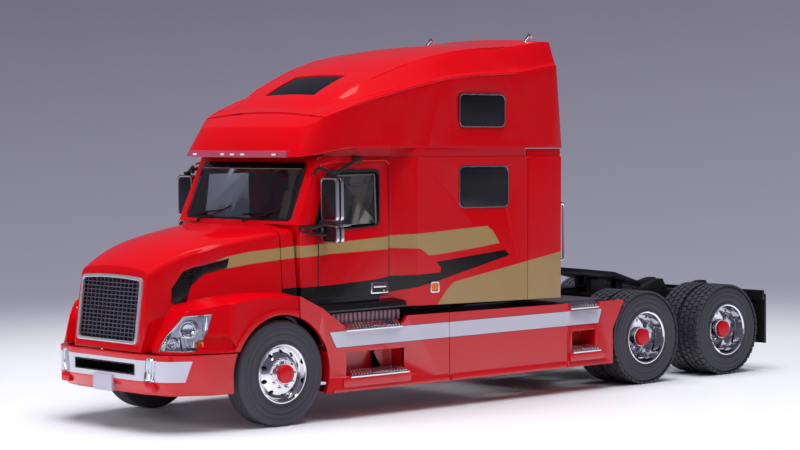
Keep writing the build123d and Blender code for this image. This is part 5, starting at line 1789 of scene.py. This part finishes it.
@dataclass
class Chassis:
    """The frame's fittings and the coupling."""

    bolt_radius: float = 0.32
    lamp_at: Point = (11.8, 164.28, 19.6)
    castings: tuple[tuple[str, Finish, float], ...] = (      # node, finish and width of the rounded edges
        ("mud_flaps", CHASSIS_BLACK, 0.1), ("rear_crossbar", CHASSIS_BLACK, 0.12), ("deck_plate", DECK_GREY, 0.12),
        ("frame_rails", CHASSIS_BLACK, 0.1), ("crossmembers", CHASSIS_BLACK, 0.1),
        ("fifth_wheel_bracket", CHASSIS_BLACK, 0.12))

    def frame_fittings(self) -> None:
        """Bolts the frame, stands the two wedges on each rail and rounds the castings' edges."""
        bolt = Piece.drum("frame_bolts_and_brackets", self.bolt_radius, ORIGIN, (0.3, 0.0, 0.0), 6)
        bolt.bevel(self.bolt_radius * 0.18, 1)
        bolts = bolt.repeat([(10.0, y, z) for y in range(92, 162, 5) for z in (17.6, 20.6)])
        wedges = []
        for y, top in ((142.8, 25.1), (159.9, 23.8)):
            outline = [(y - 12.0, 21.6), (y - 1.2, top), (y + 0.6, top), (y + 2.5, 21.6)]
            wedges.append(Piece.prism("wedge", outline, Axis.X, 8.2, 10.6).bevel(0.25, 2))
        bolts.join(*wedges).both_sides().smooth(35).seat(CHASSIS_BLACK)
        for node, finish, width in self.castings:
            Piece.casting(node + "_finished", node, finish, width, 2, 30, 30)

    def coupling(self) -> None:
        """Rounds the coupling plate's edges."""
        Piece.casting("coupling_plate_finished", "fifth_wheel_plate", GREASED_STEEL, 0.14, 2, 30, 30,
                      body=Body.COUPLING)

    def tail(self) -> None:
        """Builds the tail lamps: a domed red lens in a bright ring."""
        dome = [(0.0, 0.98), (0.35, 0.95), (0.55, 0.75), (0.62, 0.4), (0.64, 0.0)]
        lens = Piece.turned("tail_lamp_lenses", dome, self.lamp_at, Axis.Y, 36)
        lens.both_sides().smooth(45).seat(RED_LENS, "tail_lamps")
        band = [(0.0, 1.0), (0.0, 1.3), (0.4, 1.25), (0.5, 1.1), (0.4, 1.0)]
        ring = Piece.turned("tail_lamp_rings", band, self.lamp_at, Axis.Y, 36, closed=True)
        ring.both_sides().smooth(45).seat(CHROME)

    def build(self) -> None:
        """Builds the fittings."""
        self.frame_fittings()
        self.coupling()
        self.tail()


@dataclass
class Interior:
    """The seats, the bunk, the dashboard and the steering wheel."""

    seat_x: float = 11.5
    wheel_radius: float = 4.2
    wheel_lean: float = math.radians(28.0)

    def cushion(self, name: str, low: Point, high: Point, crown: float, turn: float = 0.0) -> Piece:
        """Models a padded block whose sides pull in and whose faces bulge.

        Args:
            name: the piece's name.
            low: its lowest corner.
            high: its highest corner.
            crown: how far its top rises at the middle.
            turn: its tilt back about its lower rear edge, degrees.

        Returns:
            The cushion.
        """
        pad = Piece.block(name, low, high)
        with pad.editing():
            bpy.ops.mesh.subdivide(number_cuts=3)
        middle = [(a + b) / 2 for a, b in zip(low, high)]
        half = [(b - a) / 2 for a, b in zip(low, high)]
        for vertex in pad.obj.data.vertices:
            share = [(vertex.co[i] - middle[i]) / half[i] for i in range(3)]
            swell = (1 - share[0] ** 2) * (1 - share[1] ** 2)
            vertex.co.z += crown * swell * share[2]
            vertex.co.x -= 0.05 * half[0] * share[0] * (1 - (1 - abs(share[2])) * 0.6)
        pad.subdivide(2)
        return pad.moved(about((0.0, high[1], low[2]), Matrix.Rotation(math.radians(turn), 4, "X")))

    def seat(self, side: Side) -> None:
        """Builds one seat: its cushion, backrest, head restraint and pedestal.

        Args:
            side: the side of the truck.
        """
        x = self.seat_x * side.value
        word = side.name.lower()
        base = self.cushion(f"seat_{word}_cushion", (x - 4.2, 22.2, 33.6), (x + 4.2, 32.6, 37.4), 0.5)
        back = self.cushion("back", (x - 4.0, 31.2, 37.2), (x + 4.0, 34.0, 50.6), 0.2, -14.0)
        rest = self.cushion("rest", (x - 2.4, 34.4, 50.6), (x + 2.4, 36.6, 54.6), 0.2, -10.0)
        base.join(back, rest).moved(RAKE).smooth(60).seat(BEIGE, f"seat_{word}")
        outline = [(23.0, 25.6), (31.5, 25.6), (32.0, 33.4), (22.6, 33.4)]
        pedestal = Piece.prism(f"seat_{word}_pedestal", outline, Axis.X, x - 3.0, x + 3.0)
        pedestal.bevel(0.3, 2).moved(RAKE).smooth(30).seat(CABIN_DARK)

    def build(self) -> None:
        """Builds the cabin's inside."""
        for side in Side:
            self.seat(side)
        bunk = self.cushion("bunk_mattress", (-26.8, 50.3, 31.0), (26.8, 74.2, 35.6), 0.5)
        bunk.moved(RAKE).smooth(60).seat(BEIGE, "bunk")
        base = Piece.block("bunk_base", (-26.6, 50.6, 25.5), (26.6, 74.2, 30.9)).bevel(0.3, 2)
        base.moved(RAKE).smooth(30).seat(CABIN_DARK)
        Piece.casting("dashboard_moulded", "dashboard", CABIN_DARK, 0.5, 3, 30, 35)
        self.steering_wheel()

    def steering_wheel(self) -> None:
        """Builds the steering wheel with three spokes, its boss and its column."""
        radius, thick = self.wheel_radius, 0.42
        section = [(thick * math.cos(t * math.pi / 5), radius + thick * math.sin(t * math.pi / 5)) for t in range(10)]
        wheel = Piece.turned("steering_wheel_moulded", section, ORIGIN, Axis.Z, 48, closed=True)
        spokes = [Piece.rail("spoke", [(0.0, 0.0, -0.1), (radius * math.cos(a), radius * math.sin(a), 0.0)], 0.3)
                  for a in (0.3, math.pi - 0.3, -math.pi / 2)]
        boss = Piece.drum("boss", 1.2, (0.0, 0.0, -0.6), (0.0, 0.0, 0.3), 24, 1.0).bevel(0.2, 3)
        column = Piece.drum("column", 0.6, (0.0, 0.0, -5.4), (0.0, 0.0, -0.4), 20).bevel(0.1, 2)
        there = Matrix.Translation((self.seat_x, 20.0, 42.5)) @ Matrix.Rotation(-self.wheel_lean, 4, "X")
        wheel.join(boss, column, *spokes).moved(RAKE @ there).smooth(50).seat(CABIN_DARK, "steering_wheel")


# --- studio ---


@dataclass
class Studio:
    """A pale floor, soft lights and the camera."""

    camera_at: Point = (449.916, -325.841, 69.261)
    azimuth: float = 49.437
    elevation: float = 2.589
    roll: float = -0.681
    focal: float = 106.82
    sensor: float = 36.0
    floor_half: float = 600.0
    fade_from: float = 70.0      # the floor card pales into the wall between these two distances
    fade_to: float = 420.0

    def camera(self) -> None:
        """Stands the camera at its place and makes it the scene's camera."""
        az, el, roll = (math.radians(a) for a in (self.azimuth, self.elevation, self.roll))
        back = Vector((math.sin(az) * math.cos(el), -math.cos(az) * math.cos(el), math.sin(el)))
        right = Vector((math.cos(az), math.sin(az), 0.0))
        up = back.cross(right)
        level = right * math.cos(roll) + up * math.sin(roll)
        upright = up * math.cos(roll) - right * math.sin(roll)
        bpy.ops.object.camera_add()
        camera = bpy.context.object
        camera.name = "camera"
        camera.data.lens = self.focal
        camera.data.sensor_width = self.sensor
        camera.data.clip_start = 0.01
        camera.data.clip_end = 20.0
        turn = Matrix((level, upright, back)).transposed().to_4x4()
        camera.matrix_world = Matrix.Translation(TO_ROW @ Vector(self.camera_at)) @ turn
        bpy.context.scene.camera = camera

    def floor(self) -> None:
        """Lays the floor, a card that pales into the wall, as stage."""
        bpy.ops.object.select_all(action="DESELECT")
        bpy.ops.mesh.primitive_plane_add(size=2 * self.floor_half * MM)
        floor = bpy.context.object
        floor.name = "floor"
        material = bpy.data.materials.new("floor_card")
        material.use_nodes = True
        tree = material.node_tree
        shader = tree.nodes["Principled BSDF"]
        shader.inputs["Base Color"].default_value = linear("#F4F6FC")
        shader.inputs["Roughness"].default_value = 0.3
        place = add_node(tree, "TexCoord").outputs["Object"]
        reach = add_node(tree, "VectorMath", {0: place}, operation="LENGTH").outputs["Value"]
        fade = add_node(tree, "MapRange", {0: reach, 1: self.fade_from * MM, 2: self.fade_to * MM, 3: 1.0, 4: 0.0},
                        interpolation_type="SMOOTHERSTEP")
        tree.links.new(fade.outputs[0], shader.inputs["Alpha"])
        floor.data.materials.append(material)

    def light(self, name: str, at: Point, aim: Point, size: Flat, watts: float, glossy: bool = True) -> None:
        """Hangs a soft box.

        Args:
            name: its name.
            at: where it hangs, mm.
            aim: the point that it faces, mm.
            size: width and height of its face, mm.
            watts: its power.
            glossy: whether it shows in reflections.
        """
        bpy.ops.object.light_add(type="AREA")
        lamp = bpy.context.object
        lamp.name = name
        lamp.data.shape = "RECTANGLE"
        lamp.data.size, lamp.data.size_y = size[0] * MM, size[1] * MM
        lamp.data.energy = watts
        start, end = TO_ROW @ Vector(at), TO_ROW @ Vector(aim)
        lamp.visible_glossy = glossy
        lamp.matrix_world = Matrix.Translation(start) @ (start - end).to_track_quat("Z", "Y").to_matrix().to_4x4()

    def world(self) -> None:
        """Surrounds the scene with an even grey that pales towards the floor."""
        world = bpy.data.worlds.new("studio_wall")
        bpy.context.scene.world = world
        world.use_nodes = True
        tree = world.node_tree
        ray = add_node(tree, "TexCoord").outputs["Generated"]
        slope = add_node(tree, "VectorMath", {0: ray, 1: (0.05, 0.06, -1.0)}, operation="DOT_PRODUCT").outputs["Value"]
        share = add_node(tree, "MapRange", {0: slope, 1: -0.12, 2: 0.12}).outputs[0]
        colour = blend(tree, share, linear("#5D5A69"), linear("#A09FB2"))
        tree.links.new(colour, tree.nodes["Background"].inputs["Color"])
        tree.nodes["Background"].inputs["Strength"].default_value = 1.0

    def build(self) -> None:
        """Builds the whole studio."""
        self.floor()
        self.world()
        self.light("top_box", (60.0, 20.0, 620.0), (0.0, 60.0, 0.0), (520.0, 700.0), 6.0, False)
        self.light("top_strip", (150.0, 40.0, 560.0), (0.0, 60.0, 40.0), (60.0, 900.0), 0.5)
        self.light("front_box", (-120.0, -620.0, 260.0), (0.0, 20.0, 40.0), (420.0, 260.0), 2.2, False)
        self.light("side_box", (700.0, 240.0, 260.0), (0.0, 70.0, 40.0), (420.0, 260.0), 0.25, False)
        self.light("front_strip", (160.0, -560.0, 420.0), (0.0, 20.0, 40.0), (500.0, 36.0), 0.12)
        self.camera()


def main() -> None:
    """Builds the sub-assemblies in order and writes how large the result is."""
    logging.basicConfig(level=logging.INFO, format="%(name)s: %(message)s")
    bpy.context.scene.view_settings.view_transform = "Standard"
    dress_nodes()
    for assembly in (Studio(), Tyres(), Rims(), Nose(), Cab(), Roof(), Mirrors(), Skirts(), Chassis(), Interior()):
        assembly.build()
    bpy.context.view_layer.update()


if __name__ == "__main__":
    main()
